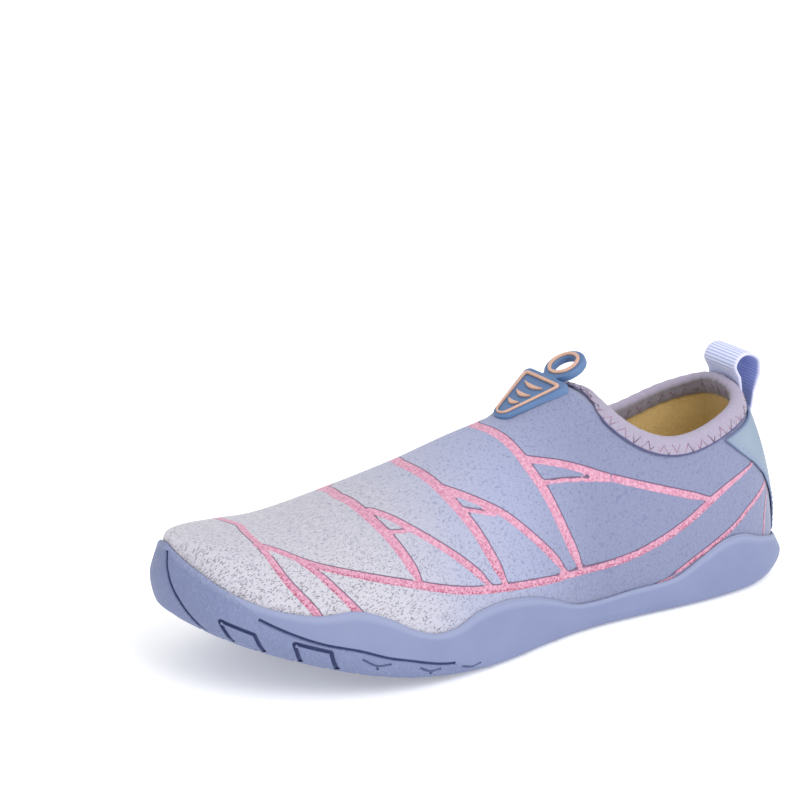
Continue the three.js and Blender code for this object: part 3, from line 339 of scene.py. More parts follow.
class Flow:
    """A number, vector or colour that flows out of a material's node."""

    def __init__(self, finish, socket):
        self.finish = finish
        self.socket = socket

    def maths(self, operation, *others):
        return self.finish.node("Math", {"operation": operation}, dict(enumerate((self, *others))))

    def __add__(self, other):
        return self.maths("ADD", other)

    def __sub__(self, other):
        return self.maths("SUBTRACT", other)

    def __rsub__(self, other):
        return self.finish.node("Math", {"operation": "SUBTRACT"}, {0: other, 1: self})

    def __mul__(self, other):
        return self.maths("MULTIPLY", other)

    def __truediv__(self, other):
        return self.maths("DIVIDE", other)

    __radd__ = __add__
    __rmul__ = __mul__

    def between(self, low, high):
        """0 up to low, 1 from high on, and smooth between them. High may be the lower of the two."""
        ends = {"Value": self, "From Min": low, "From Max": high}
        return self.finish.node("MapRange", {"interpolation_type": "SMOOTHSTEP"}, ends)


def linear(code):
    """A colour for the nodes from its six hexadecimal digits."""
    parts = [int(code[place : place + 2], 16) / 255 for place in (0, 2, 4)]
    return (*[part / 12.92 if part < 0.04045 else ((part + 0.055) / 1.055) ** 2.4 for part in parts], 1)


class Finish:
    """A material whose nodes are written as expressions."""

    def __init__(self, name, **shader):
        self.material = bpy.data.materials.new(name)
        self.material.use_nodes = True
        self.tree = self.material.node_tree
        self.shader = self.tree.nodes["Principled BSDF"]
        for socket, value in shader.items():
            self.shader.inputs[socket.replace("_", " ")].default_value = value

    def node(self, kind, settings=None, inputs=None, output=0):
        made = self.tree.nodes.new("ShaderNode" + kind)
        for name, value in (settings or {}).items():
            setattr(made, name, value)
        for name, value in (inputs or {}).items():
            self.feed(made.inputs[name], value)
        return Flow(self, made.outputs[output])

    def feed(self, socket, value):
        if isinstance(value, Flow):
            self.tree.links.new(value.socket, socket)
        else:
            socket.default_value = value

    def field(self, label, output=2):
        """A value that the mesh carries on its points. Output 2 is the number and 1 the vector."""
        return self.node("Attribute", {"attribute_name": label}, output=output)

    def place(self):
        return self.node("TexCoord", output=3)

    def apart(self, vector):
        """The three numbers of a vector."""
        split = self.node("SeparateXYZ", inputs={0: vector})
        return [Flow(self, socket) for socket in split.socket.node.outputs]

    def stretched(self, vector, scale):
        return self.node("VectorMath", {"operation": "MULTIPLY"}, {0: vector, 1: scale})

    def noise(self, vector, scale, detail=2.0, roughness=0.5):
        inputs = {"Vector": vector, "Scale": scale, "Detail": detail, "Roughness": roughness}
        return self.node("TexNoise", inputs=inputs)

    def cells(self, vector, scale, feature="F1", randomness=1.0):
        inputs = {"Vector": vector, "Scale": scale, "Randomness": randomness}
        return self.node("TexVoronoi", {"feature": feature}, inputs)

    def mix(self, share, first, second):
        """First where the share is 0 and second where it is 1; both are colours."""
        return self.node("Mix", {"data_type": "RGBA"}, {0: share, 6: first, 7: second}, output=2)

    def bump(self, height, distance, strength=1.0):
        relief = self.node("Bump", inputs={"Strength": strength, "Distance": distance * MM, "Height": height})
        self.feed(self.shader.inputs["Normal"], relief)

    def colour(self, value):
        self.feed(self.shader.inputs["Base Color"], value)

    def rough(self, value):
        self.feed(self.shader.inputs["Roughness"], value)


# Rows up the sole's side, over its rim and down inside, and stations round it
SIDE_ROWS = (2, 4, 5, 8, 5, 3, 3, 3)
SOLE_STATIONS = 330


def cosine_shares(count):
    return (1 - np.cos(np.linspace(0, np.pi, count + 1))) / 2


def wall_place(side, along, share, distance):
    """Points on the upper's wall near the sole, at a share of the way up to its rim, moved outwards."""
    turn = share * rim_turn(side, along)
    foot = foot_of(side, along)
    point = upper_point(side, foot, turn)
    _, outward = edge_place(side, along)
    out = np.column_stack([outward, np.zeros(len(point))])
    return point + distance * out


def side_controls(side, along):
    """The nine points of the moulded side at each station, from the tread's land to the inner corner."""
    place, outward = edge_place(side, along)
    base = underside(place[:, 0])
    rim = rim_height[side](along)
    flare = flare_width[side](along)

    def out(distance, height):
        point = place + outward * np.broadcast_to(distance, rim.shape)[:, None]
        return np.column_stack([point, base + height])

    land = out(-EDGE_ROUNDING, 0)
    land[:, 2] = underside(land[:, 0])
    rim_outer = wall_place(side, along, 1, FIT + RIM_THICKNESS)
    rim_outer[:, 2] -= RIM_THICKNESS
    corner = wall_place(side, along, 0, FIT)
    corner[:, 2] -= FIT
    return np.array([
        land,
        out(-0.25 * EDGE_ROUNDING, 0.3 * EDGE_ROUNDING),
        out(0.5 * flare, EDGE_ROUNDING),
        out(flare, 0.5 * rim),
        rim_outer,
        wall_place(side, along, 1, FIT + RIM_THICKNESS / 2),
        wall_place(side, along, 1, FIT),
        wall_place(side, along, 0.5, FIT),
        corner,
    ])


def across_faces(count, rows, row, floor):
    """Strips from the lateral side to the medial side, which close the underside and the floor."""
    faces = []
    half = count // 2
    for station in range(half):
        near = station * rows + row
        ahead = (station + 1) * rows + row
        far_ahead = ((count - station - 1) % count) * rows + row
        far = ((count - station) % count) * rows + row
        corners = [near, ahead, far_ahead, far]
        distinct = list(dict.fromkeys(corners))
        faces.append(distinct[::-1] if floor else distinct)
    return faces


sole_along = cosine_shares(SOLE_STATIONS)
sole_sides = {side: side_grid(side_controls(side, sole_along), SIDE_ROWS) for side in SIDES}
sole_grid = round_shoe(sole_sides["lateral"], sole_sides["medial"])
columns, rows = sole_grid.shape[:2]
sole_faces = grid_faces(columns, rows)
sole_faces += across_faces(columns, rows, 0, floor=False) + across_faces(columns, rows, rows - 1, floor=True)
sole = make_mesh("sole_cup", sole_grid.reshape(-1, 3), sole_faces)
uncut_sole = BVHTree.FromObject(sole, bpy.context.evaluated_depsgraph_get())

# The tread: chevrons and lines as from, bend and to, in shares of the length and of the ball's width
TREAD_LINES = (
    ((0.849, -0.073), (0.92, -0.01), (0.985, 0.045)),
    ((0.849, -0.073), (0.92, -0.18), (0.985, -0.285)),
    ((0.796, -0.051), (0.89, 0.04), (0.965, 0.145)),
    ((0.796, -0.051), (0.885, -0.205), (0.962, -0.362)),
    ((0.705, -0.017), (0.83, 0.07), (0.938, 0.25)),
    ((0.705, -0.017), (0.81, -0.185), (0.93, -0.43)),
    ((0.629, 0.021), (0.74, 0.06), (0.895, 0.325)),
    ((0.629, 0.021), (0.73, -0.14), (0.89, -0.457)),
    ((0.565, 0.05), (0.7, 0.12), (0.853, 0.38)),
    ((0.565, 0.05), (0.64, -0.09), (0.832, -0.488)),
    ((0.845, 0.375), (0.919, -0.04), (0.885, -0.45)),
    ((0.734, 0.469), (0.8375, 0.053), (0.803, -0.48)),
    ((0.658, 0.465), (0.7395, 0.002), (0.719, -0.485)),
    ((0.588, 0.437), (0.67, 0.0075), (0.636, -0.4)),
    ((0.523, 0.399), (0.5745, 0.047), (0.552, -0.293)),
    ((0.458, 0.356), (0.483, 0.081), (0.472, -0.21)),
    ((0.395, 0.33), (0.4025, 0.06), (0.4, -0.19)),
    ((0.724, 0.47), (0.581, 0.2365), (0.394, 0.243)),
    ((0.815, 0.421), (0.6135, 0.098), (0.398, 0.163)),
    ((0.77, -0.475), (0.6135, -0.0205), (0.403, -0.023)),
    ((0.689, -0.465), (0.5775, -0.086), (0.396, -0.103)),
)
OVALS = 5
OVAL_CENTRE = 27
OVAL_SHIFT = 2.3
OVAL_LENGTH = 18.7
OVAL_WIDTH = 8.7
OVAL_LENGTH_PITCH = 6.8
OVAL_WIDTH_PITCH = 4.4
DRAINS = ((0.717, 0.362), (0.651, 0.287), (0.577, 0.238), (0.514, 0.066), (0.422, 0.071), (0.6, -0.192),
          (0.683, -0.355))
# Grooves in the lateral side, as shares of the length and of the rim's height there, with width and depth
SIDE_GROOVES = (
    ((
        (0.93, 0.78), (0.895, 0.66), (0.86, 0.56), (0.814, 0.47), (0.772, 0.4), (0.725, 0.42),
        (0.668, 0.36),
    ), 0.9, 0.7),
    ((
        (0.958, 0.05), (0.963, 0.26), (0.9665, 0.42), (0.966, 0.46), (0.962, 0.463), (0.95, 0.46),
        (0.938, 0.45), (0.9355, 0.445), (0.9345, 0.4), (0.9315, 0.25), (0.927, 0.05),
    ), 1.4, 1),
    ((
        (0.886, 0.05), (0.8895, 0.3), (0.892, 0.44), (0.8915, 0.48), (0.887, 0.482), (0.872, 0.46),
        (0.853, 0.43), (0.8495, 0.42), (0.8485, 0.37), (0.846, 0.24), (0.841, 0.05),
    ), 1.4, 1),
    ((
        (0.9997, 0.96), (0.999, 0.72), (0.996, 0.5), (0.988, 0.24), (0.98, 0.06),
    ), 1.2, 0.8),
    ((
        (0.81, 0.33), (0.79, 0.24), (0.77, 0.3),
    ), 0.7, 0.5),
    ((
        (0.79, 0.24), (0.788, 0.17),
    ), 0.7, 0.5),
    ((
        (0.727, 0.3), (0.709, 0.22), (0.692, 0.28),
    ), 0.7, 0.5),
    ((
        (0.709, 0.22), (0.707, 0.15),
    ), 0.7, 0.5),
    ((
        (0.655, 0.24), (0.637, 0.17), (0.62, 0.2),
    ), 0.7, 0.5),
)
LIP = 0.35
CUTTER_REACH = 2


def bar(points, normals, width, depth, closed=False):
    """A groove's cutter: a bar that follows points on a face, wider there so that its lips are rounded."""
    across = unit(np.cross(normals, way_ahead(points, closed)))
    corners = ((-0.32, -depth), (0.32, -depth), (0.5, -LIP), (0.5 + LIP, 0.02), (0.5 + LIP, CUTTER_REACH),
               (-0.5 - LIP, CUTTER_REACH), (-0.5 - LIP, 0.02), (-0.5, -LIP))
    ring = [points + across * (side * width) + normals * height for side, height in corners]
    rings = np.stack(ring, axis=1)
    faces = grid_faces(len(points), len(corners), wrap_columns=closed, wrap_rows=True)
    if not closed:
        faces += end_faces(len(points), len(corners))
    return rings.reshape(-1, 3), faces


def tread_groove(plan, closed=False):
    """A cutter that follows a line of the tread's plan on the sole's underside."""
    height = underside(plan[:, 0])
    slope = underside(plan[:, 0] + 0.5) - underside(plan[:, 0] - 0.5)
    normals = unit(np.column_stack([slope, np.zeros(len(plan)), -np.ones(len(plan))]))
    return bar(np.column_stack([plan, height]), normals, GROOVE_WIDTH, GROOVE_DEPTH, closed)


def side_face(side, along, level):
    """Points and outward normals of the sole's moulded side, at a share of its height up to the rim."""
    rows = sole_sides[side][:, : sum(SIDE_ROWS[:5]) + 1]
    station = np.interp(along, sole_along, np.arange(len(sole_along)))
    near = np.clip(station.astype(int), 0, len(sole_along) - 2)
    part = (station - near)[:, None, None]
    ribs = rows[near] * (1 - part) + rows[near + 1] * part
    base = underside(np.asarray(along) * SOLE_LENGTH)
    heights = base + level * rim_height[side](along)
    points = [
        [np.interp(height, rib[:, 2], rib[:, axis]) for axis in range(3)]
        for rib, height in zip(ribs, heights)
    ]
    _, outward = edge_place(side, along)
    return np.array(points), np.column_stack([outward, np.zeros(len(outward))])


cutters = []
for line in TREAD_LINES:
    from_end, bend, to_end = np.multiply(line, (SOLE_LENGTH, BALL_WIDTH))
    cutters.append(tread_groove(bowed(from_end, bend, to_end, 25)))
for oval in range(OVALS):
    turn = np.linspace(0, 2 * np.pi, 72, endpoint=False)
    length = OVAL_LENGTH + OVAL_LENGTH_PITCH * oval
    width = OVAL_WIDTH + OVAL_WIDTH_PITCH * oval
    plan = np.column_stack([OVAL_CENTRE + OVAL_SHIFT * oval + length * np.cos(turn), width * np.sin(turn)])
    cutters.append(tread_groove(plan, closed=True))
for line, width, depth in SIDE_GROOVES:
    places = catmull_rom(line, (5,) * (len(line) - 1))
    points, normals = side_face("lateral", places[:, 0], places[:, 1])
    cutters.append(bar(points, normals, width, depth))


def drain(along, across):
    """A round pin through the sole and the insole."""
    turn = np.linspace(0, 2 * np.pi, 24, endpoint=False)
    height = underside(along * SOLE_LENGTH)
    ring = np.column_stack([along * SOLE_LENGTH + DRAIN_DIAMETER / 2 * np.cos(turn),
                            across * BALL_WIDTH + DRAIN_DIAMETER / 2 * np.sin(turn), 0 * turn])
    ends = np.stack([ring + (0, 0, height - 4), ring + (0, 0, height + 4 * SOLE_FLOOR)], axis=1)
    faces = grid_faces(len(turn), 2)
    faces.append(list(range(0, 2 * len(turn), 2)))
    faces.append(list(range(1, 2 * len(turn), 2))[::-1])
    return ends.reshape(-1, 3), faces


drains = [drain(along, across) for along, across in DRAINS]


def carve(shape, tools):
    """Cuts every tool out of a piece, one after another, as the mould and the punch do."""
    for points, faces in tools:
        tool = make_mesh("tool", points, faces)
        turned = bmesh.new()
        turned.from_mesh(tool.data)
        bmesh.ops.recalc_face_normals(turned, faces=turned.faces)
        turned.to_mesh(tool.data)
        turned.free()
        cut = shape.modifiers.new("cut", "BOOLEAN")
        cut.operation = "DIFFERENCE"
        cut.solver = "MANIFOLD"
        cut.object = tool
        apply_modifiers(shape)
        bpy.data.objects.remove(tool)


carve(sole, cutters + drains)

# Each point's depth below the uncut face, and whether its land is pebbled: the toe's bumper and the side
# below the parting line
PEBBLE_EDGE = ((0.0, 0), (0.6, 0), (0.668, 0.36), (0.725, 0.42), (0.772, 0.4), (0.814, 0.47), (0.86, 0.56),
               (0.895, 0.66), (0.93, 0.78), (0.96, 1.05), (1.0, 1.2))
parting = np.array(PEBBLE_EDGE)
points = np.array([vertex.co[:] for vertex in sole.data.vertices]) / MM + ORIGIN
depth = np.array([uncut_sole.find_nearest(vertex.co)[3] for vertex in sole.data.vertices]) / MM
along = np.clip(points[:, 0] / SOLE_LENGTH, 0, 1)
rim = np.where(points[:, 1] > ridge_across(along), rim_height["lateral"](along), rim_height["medial"](along))
level = (points[:, 2] - underside(points[:, 0])) / rim
sole_values = {
    "depth": depth,
    "pebbled": np.interp(along, parting[:, 0], parting[:, 1]) - level,
    "level": level,
}
for label, column in sole_values.items():
    sole.data.attributes.new(label, "FLOAT", "POINT").data.foreach_set("value", column.astype(np.float32))

rubber = Finish("sole_rubber", Roughness=0.55, Specular_IOR_Level=0.4)
ground = rubber.place()
mottle = rubber.noise(ground, 60, 4)
# The grooves are painted darker the deeper they cut: painted shade in the grooves.
groove_shade = rubber.field("depth").between(0.15, 0.7)
pebbled = rubber.field("pebbled").between(-0.03, 0.03)
pebble = rubber.cells(ground, 900, "SMOOTH_F1").between(0.1, 0.6)
# The top of the rim is painted lighter: a painted highlight where the rim faces the light.
rim_highlight = rubber.field("level").between(0.86, 0.97)
body = rubber.mix(mottle, linear("727CA0"), linear("828BAD"))
edged = rubber.mix(rim_highlight * 0.6, body, linear("929AB8"))
# The pebbles' hollows are painted darker: painted shade in the low parts of the pebble relief.
pebble_shade = rubber.mix(pebbled * pebble * 0.35, edged, linear("656F95"))
rubber.colour(rubber.mix(groove_shade, pebble_shade, linear("323C68")))
rubber.rough(0.5 + 0.12 * mottle + 0.1 * pebbled)
grain = rubber.noise(ground, 1500, 3)
rubber.bump(0.1 * grain - pebbled * pebble, 0.25, 0.8)
dress(sole, rubber, ["sole"], sharp=30)

# Insole: a thin cut foam pad with a cloth face, laid loose on the sole's floor inside the upper. The sole's
# drain holes are punched through it too.
INSOLE = 3
WALL = 2
INSOLE_ROWS = (1, 3, 3, 1)
insole_along = sole_along[6:-6]


def insole_controls(side):
    """The pad's edge from its underside up to its face, against the inside of the upper."""
    place = wall_place(side, insole_along, 0, -WALL - FIT)
    base = underside(place[:, 0]) + SOLE_FLOOR + FIT
    _, outward = edge_place(side, insole_along)
    out = np.column_stack([outward, np.zeros(len(place))])

    def level(inset, height):
        point = place - inset * out
        point[:, 2] = base + height
        return point

    return np.array([level(1.2, 0), level(0.1, 0.2), level(0, 0.5 * INSOLE), level(0.4, 0.9 * INSOLE),
                     level(2.5, INSOLE)])


insole_sides = {side: side_grid(insole_controls(side), INSOLE_ROWS) for side in SIDES}
insole_grid = np.concatenate([insole_sides["lateral"], insole_sides["medial"][::-1]])
columns, rows = insole_grid.shape[:2]


def pad_faces(row, top):
    """Strips across the pad between its two sides."""
    faces = []
    for station in range(columns // 2 - 1):
        far = columns - 1 - station
        corners = [station * rows + row, (station + 1) * rows + row, (far - 1) * rows + row, far * rows + row]
        faces.append(corners[::-1] if top else corners)
    return faces


insole = make_mesh("insole_pad", insole_grid.reshape(-1, 3), grid_faces(columns, rows)
                   + pad_faces(0, top=False) + pad_faces(rows - 1, top=True))
carve(insole, drains)
foam = Finish("insole_cloth", Roughness=0.95, Sheen_Weight=0.3)
ground = foam.place()
weave = foam.cells(ground, 1400)
foam.colour(foam.mix(weave * 1.4, linear("CFC2A0"), linear("A8986F")))
foam.bump(weave, 0.15)
dress(insole, foam, ["insole"])

# Upper: one stretch knit shell, cut and sewn round the foot. It is glued into the sole's cup and open at
# the collar, with fused pink bands that run up from the sole and a dotted mesh at the toe.
THROAT_SHARE = 14 / 34
COLLAR_COLUMNS = 130
FRONT_COLUMNS = 172
FOOT_ROWS = 5
WALL_ROWS = 54
KNIT_THICKNESS = 1
station_at_throat = (1 - np.cos(np.pi * THROAT_SHARE)) / 2


def collar_turn(side, x):
    share = (x - UPPER_START) / (COLLAR_LENGTH - UPPER_START)
    top = section(side, x)[3]
    return turn_at_height(side, x, np.where(share > 1 - 1e-6, top, collar_height(share)))


def collar_stops(side, shares):
    """The x of places that lie evenly along the collar's edge, from the back of the heel to the throat."""
    x = UPPER_START + (COLLAR_LENGTH - UPPER_START) * cosine_shares(900)
    edge = upper_point(side, x, collar_turn(side, x))
    run = distance_along(edge)
    return np.interp(shares * run[-1], run, x)


def wall_columns(side):
    """The upper's outer face on one side: columns from the heel to the toe, rows from the feather line up."""
    stations = np.concatenate([
        np.linspace(0, THROAT_SHARE, COLLAR_COLUMNS + 1),
        np.linspace(THROAT_SHARE, 1, FRONT_COLUMNS + 1)[1:],
    ])
    along = (1 - np.cos(np.pi * stations)) / 2
    foot_x = foot_of(side, along)
    foot_turn = rim_turn(side, along)
    start = station_at_throat * SOLE_LENGTH
    forward = np.clip((foot_x - start) / (UPPER_END - start), 0, 1)
    top_x = COLLAR_LENGTH + (UPPER_END - COLLAR_LENGTH) * forward
    top_turn = np.full(len(stations), np.pi / 2)
    behind = stations <= THROAT_SHARE
    top_x[behind] = collar_stops(side, stations[behind] / THROAT_SHARE)
    top_turn[behind] = collar_turn(side, top_x[behind])
    rise = np.concatenate([np.zeros(FOOT_ROWS), np.linspace(0, 1, WALL_ROWS + 1)])
    below = np.concatenate([np.arange(FOOT_ROWS) / FOOT_ROWS, np.ones(WALL_ROWS + 1)])
    x = foot_x[:, None] + (top_x - foot_x)[:, None] * rise
    turn = (foot_turn[:, None] + (top_turn - foot_turn)[:, None] * rise) * below
    points = upper_point(side, x.ravel(), turn.ravel()).reshape(*x.shape, 3)
    return points, x / SOLE_LENGTH, turn / (np.pi / 2)


wall_sides = {side: wall_columns(side) for side in SIDES}
wall, wall_along, wall_turn = [round_shoe(*values) for values in zip(*wall_sides.values())]
wall_ways = facing(wall)
columns, rows = wall.shape[:2]
front = np.arange(COLLAR_COLUMNS, COLLAR_COLUMNS + FRONT_COLUMNS)
mates = (columns - front) % columns
wall[mates, -1] = wall[front, -1]
shared = unit(wall_ways[front, -1] + wall_ways[mates, -1])
wall_ways[front, -1] = shared
wall_ways[mates, -1] = shared

# Soft hollows where the empty knit gives a little
slack = 0.35 * np.sin(wall[..., 0] / 17 + wall[..., 2] / 9) * np.sin(wall[..., 2] / 7 + wall[..., 1] / 15)
free = np.clip((wall_turn - 0.25) / 0.2, 0, 1) * np.clip((0.95 - wall_turn) / 0.2, 0, 1)
wall = wall + (slack * free)[..., None] * wall_ways

# The tab's own plane has +X from the shield's tip to the ring and +Z out of the shoe
TAB_LENGTH = 26
TAB_WIDTH = 26
TAB_THICKNESS = 3
TAB_SLOPE = np.radians(26)
TAB_CORNER = 3
TAB_TIP = 0.452
TAB_ACROSS = -0.049
TAB_SINK = 2
TAB_FLANK = 2.1
TIP_HALF = 4.5
TENT_REACH = 10
TENT_RISE = 8
TENT_DEPTH = 16
tip_x = TAB_TIP * SOLE_LENGTH + TAB_CORNER
tab_origin = np.array([tip_x, TAB_ACROSS * BALL_WIDTH, ridge_height(tip_x / SOLE_LENGTH) - TAB_SINK])
tab_axes = np.array([
    (-np.cos(TAB_SLOPE), 0, np.sin(TAB_SLOPE)),
    (0, -1, 0),
    (np.sin(TAB_SLOPE), 0, np.cos(TAB_SLOPE)),
])

# The knit is drawn up under the stiff shield, so that only the shield's flank shows
plan = (wall - tab_origin) @ tab_axes.T
half = TIP_HALF + (TAB_WIDTH / 2 - TIP_HALF) * np.clip(plan[..., 0] / TAB_LENGTH, 0, 1)
ends = np.maximum(-plan[..., 0], 1.5 * (plan[..., 0] - TAB_LENGTH)).clip(0)
apart = np.hypot(ends, (np.abs(plan[..., 1]) - half).clip(0))
under = np.clip(1 - apart / TENT_REACH, 0, 1) ** 2 * np.clip((plan[..., 2] + TENT_DEPTH) / 6, 0, 1)
lift = (TAB_THICKNESS - TAB_FLANK - plan[..., 2]).clip(0, TENT_RISE) * under
wall = wall + lift[..., None] * tab_axes[2]

# Distances over the cloth from the toe and from the top, so that its pattern isn't stretched
toe_column = COLLAR_COLUMNS + FRONT_COLUMNS
steps_along = np.linalg.norm(np.roll(wall, -1, axis=0) - wall, axis=-1)
run_along = np.zeros((columns, rows))
run_along[:toe_column] = np.cumsum(steps_along[:toe_column][::-1], axis=0)[::-1]
run_along[toe_column + 1 :] = np.cumsum(steps_along[toe_column:-1], axis=0)
steps_up = np.linalg.norm(np.diff(wall, axis=1), axis=-1)
run_down = np.concatenate([np.cumsum(steps_up[:, ::-1], axis=1)[:, ::-1], np.zeros((columns, 1))], axis=1)
run_foot = np.concatenate([np.zeros((columns, 1)), np.cumsum(steps_up, axis=1)], axis=1)
rim_row = run_foot[:, FOOT_ROWS][:, None]

# The fused bands: places as shares of the length and of the turn from the feather line to the ridge
BANDS = {
    "toe": (2.8, (
        (0.884, 1.0), (0.892, 0.925), (0.892, 0.795), (0.891, 0.614), (0.884, 0.432), (0.869, 0.309),
        (0.848, 0.17),
    )),
    "long": (2.9, (
        (0.895, 0.771), (0.878, 0.735), (0.858, 0.66), (0.836, 0.588), (0.798, 0.508), (0.759, 0.438),
        (0.716, 0.374), (0.674, 0.317), (0.635, 0.273), (0.588, 0.232), (0.532, 0.191), (0.468, 0.154),
        (0.405, 0.132), (0.333, 0.12), (0.272, 0.142), (0.214, 0.188), (0.18, 0.226), (0.13, 0.272),
        (0.069, 0.311),
    )),
    "toe_branch": (2.7, (
        (0.851, 0.62), (0.837, 0.53), (0.824, 0.42), (0.811, 0.325), (0.79, 0.2),
    )),
    "ball": (3.8, (
        (0.729, 1.0), (0.725, 0.92), (0.724, 0.833), (0.721, 0.743), (0.717, 0.655), (0.711, 0.543),
        (0.706, 0.453), (0.7, 0.36),
    )),
    "ball_branch": (2.9, (
        (0.714, 0.809), (0.698, 0.724), (0.681, 0.622), (0.654, 0.498), (0.628, 0.4), (0.605, 0.318),
        (0.586, 0.245),
    )),
    "instep": (3.9, (
        (0.623, 1.0), (0.619, 0.905), (0.613, 0.795), (0.608, 0.697), (0.601, 0.598), (0.592, 0.504),
        (0.583, 0.414), (0.572, 0.322), (0.558, 0.22),
    )),
    "instep_branch": (3, (
        (0.605, 0.724), (0.587, 0.65), (0.563, 0.562), (0.541, 0.489), (0.517, 0.405), (0.491, 0.32),
        (0.465, 0.238), (0.441, 0.16),
    )),
    "throat": (3.8, (
        (0.5, 1.0), (0.49, 0.885), (0.483, 0.793), (0.477, 0.7), (0.471, 0.6), (0.462, 0.514),
        (0.453, 0.432), (0.443, 0.345), (0.428, 0.238), (0.41, 0.14),
    )),
    "side": (2.8, (
        (0.471, 0.652), (0.42, 0.54), (0.364, 0.438), (0.34, 0.403), (0.3, 0.356), (0.257, 0.313),
        (0.212, 0.273), (0.17, 0.238),
    )),
    "heel": (2.0, (
        (0.038, 0.21), (0.088, 0.175), (0.124, 0.134), (0.167, 0.098), (0.214, 0.064), (0.251, 0.036),
        (0.28, 0.028),
    )),
    "heel_branch": (1.4, (
        (0.033, 0.186), (0.051, 0.129), (0.059, 0.061),
    )),
    "ball_spur": (1.8, (
        (0.712, 0.652), (0.687, 0.614),
    )),
    "instep_spur": (1.8, (
        (0.595, 0.587), (0.55, 0.488),
    )),
    "side_spur": (1.8, (
        (0.459, 0.512), (0.4, 0.448), (0.335, 0.392),
    )),
}
FAR = 6.0
BAND_EASING = 40


def line_on_wall(side, places, spacing=0.6):
    """A smooth line on the upper through places given as shares."""
    places = catmull_rom(places, (6,) * (len(places) - 1))
    line = upper_point(side, places[:, 0] * SOLE_LENGTH, places[:, 1] * np.pi / 2)
    run = distance_along(line)
    even = np.arange(0, run[-1], spacing)
    line = at_distances(line, run, even)
    for _ in range(BAND_EASING):
        line[1:-1] = (line[:-2] + 2 * line[1:-1] + line[2:]) / 4
    return line, even / run[-1]


def band_fields():
    """How deep each point lies inside the nearest band, and how far it is to the band's upper side."""
    depth = np.full(columns * rows, -FAR)
    upper_side = np.zeros(columns * rows)
    points = wall.reshape(-1, 3)
    ways = wall_ways.reshape(-1, 3)
    for side, sign in SIDES.items():
        on_side = (points[:, 1] - ridge_across(np.clip(points[:, 0] / SOLE_LENGTH, 0, 1))) * sign >= -FAR
        for width, places in BANDS.values():
            line, share = line_on_wall(side, places)
            ahead = unit(np.gradient(line, axis=0))
            low, high = line.min(axis=0) - FAR, line.max(axis=0) + FAR
            near = np.flatnonzero(on_side & np.all((points > low) & (points < high), axis=1))
            gaps = np.linalg.norm(points[near, None] - line[None], axis=-1)
            closest = np.argmin(gaps, axis=1)
            apart = gaps[np.arange(len(near)), closest]
            half = 0.5 * width * np.minimum(1, 0.45 + 5 * (1 - share))[closest]
            over = np.cross(ways[near], ahead[closest])
            over *= np.where(over[:, 2:] < 0, -1, 1)
            height = np.einsum("ij,ij->i", points[near] - line[closest], over)
            better = half - apart > depth[near]
            depth[near[better]] = (half - apart)[better]
            upper_side[near[better]] = np.clip(height / half, -1.5, 1.5)[better]
    return depth, upper_side


band_depth, band_upper = band_fields()


def skin(offset, column_step=1, row_step=1, skip_rows=0):
    """The wall moved outwards by an offset, as points and faces. Larger steps make it coarser."""
    grid = (wall + offset * wall_ways)[::column_step, skip_rows::row_step]
    faces = grid_faces(*grid.shape[:2])
    return grid.reshape(-1, 3), faces


def solid_skin(shape, thickness):
    """Gives a skin its thickness on its inner side."""
    thick = shape.modifiers.new("thickness", "SOLIDIFY")
    thick.thickness = thickness * MM
    thick.offset = -1
    apply_modifiers(shape)


points, faces = skin(0)
cloth_values = {
    "cloth": np.stack([run_along, run_down, 0 * run_down], axis=-1).reshape(-1, 3),
    "along": wall_along.ravel(),
    "up": wall_turn.ravel(),
    "off_rim": (run_foot - rim_row).ravel(),
    "band": band_depth,
    "band_upper": band_upper,
}
knit_skin = make_mesh("upper_knit", points, faces, cloth_values)
wall_tree = BVHTree.FromObject(knit_skin, bpy.context.evaluated_depsgraph_get())
solid_skin(knit_skin, KNIT_THICKNESS)

knit = Finish("knit", Roughness=0.85, Sheen_Weight=0.25, Sheen_Roughness=0.5)
ground = knit.place()
cloth = knit.field("cloth", 1)
run, down, _ = knit.apart(cloth)
along = knit.field("along")
off_rim = knit.field("off_rim")
band = knit.field("band")
band_upper_side = knit.field("band_upper")
patches = knit.noise(ground, 45, 3)
fine = knit.noise(ground, 900, 3, 0.65)
heather = knit.noise(knit.stretched(cloth, (0.55, 1.6, 1)), 1.4, 4, 0.7)

toe_share = (along + 0.1 * (patches - 0.5)).between(0.5, 0.8)
low_share = off_rim.between(42, 4)
dot = knit.cells(knit.stretched(cloth, (0.62, 1, 1)), 1.65, "F1", 0.75)
cluster = knit.noise(knit.stretched(cloth, (1, 1.6, 1)), 0.22, 3, 0.6)
size = 0.2 + 0.17 * low_share * (0.3 + 0.7 * toe_share) + 0.35 * (cluster - 0.5)
dotted = (size - dot).between(-0.06, 0.08) * (along + 0.35 * low_share).between(0.5, 0.8)
ripple = knit.noise(knit.stretched(cloth, (0.4, 1.3, 1)), 0.95, 2, 0.5).between(0.4, 0.62)
deep = knit.mix(heather, linear("626A90"), linear("9398B2"))
lilac = knit.mix(heather, linear("7D85A9"), linear("B1B5CF"))
warm = knit.mix(heather, linear("ACAAB5"), linear("CECCD5"))
rear = knit.mix(along.between(0.36, 0.56), deep, lilac)
cloth_colour = knit.mix(toe_share, rear, warm)
speckle = (fine - 0.5).between(0.05, 0.14)
speckled = knit.mix(speckle * 0.4, cloth_colour, linear("565D86"))
rippled = knit.mix(ripple * (1 - low_share) * toe_share * 0.3, speckled, linear("7E7F94"))
spotted = knit.mix(dotted * 0.65, rippled, linear("605A64"))
ragged = band + 0.5 * (fine - 0.5) * band_upper_side.between(0.6, -0.6)
in_band = ragged.between(-0.12, 0.12)
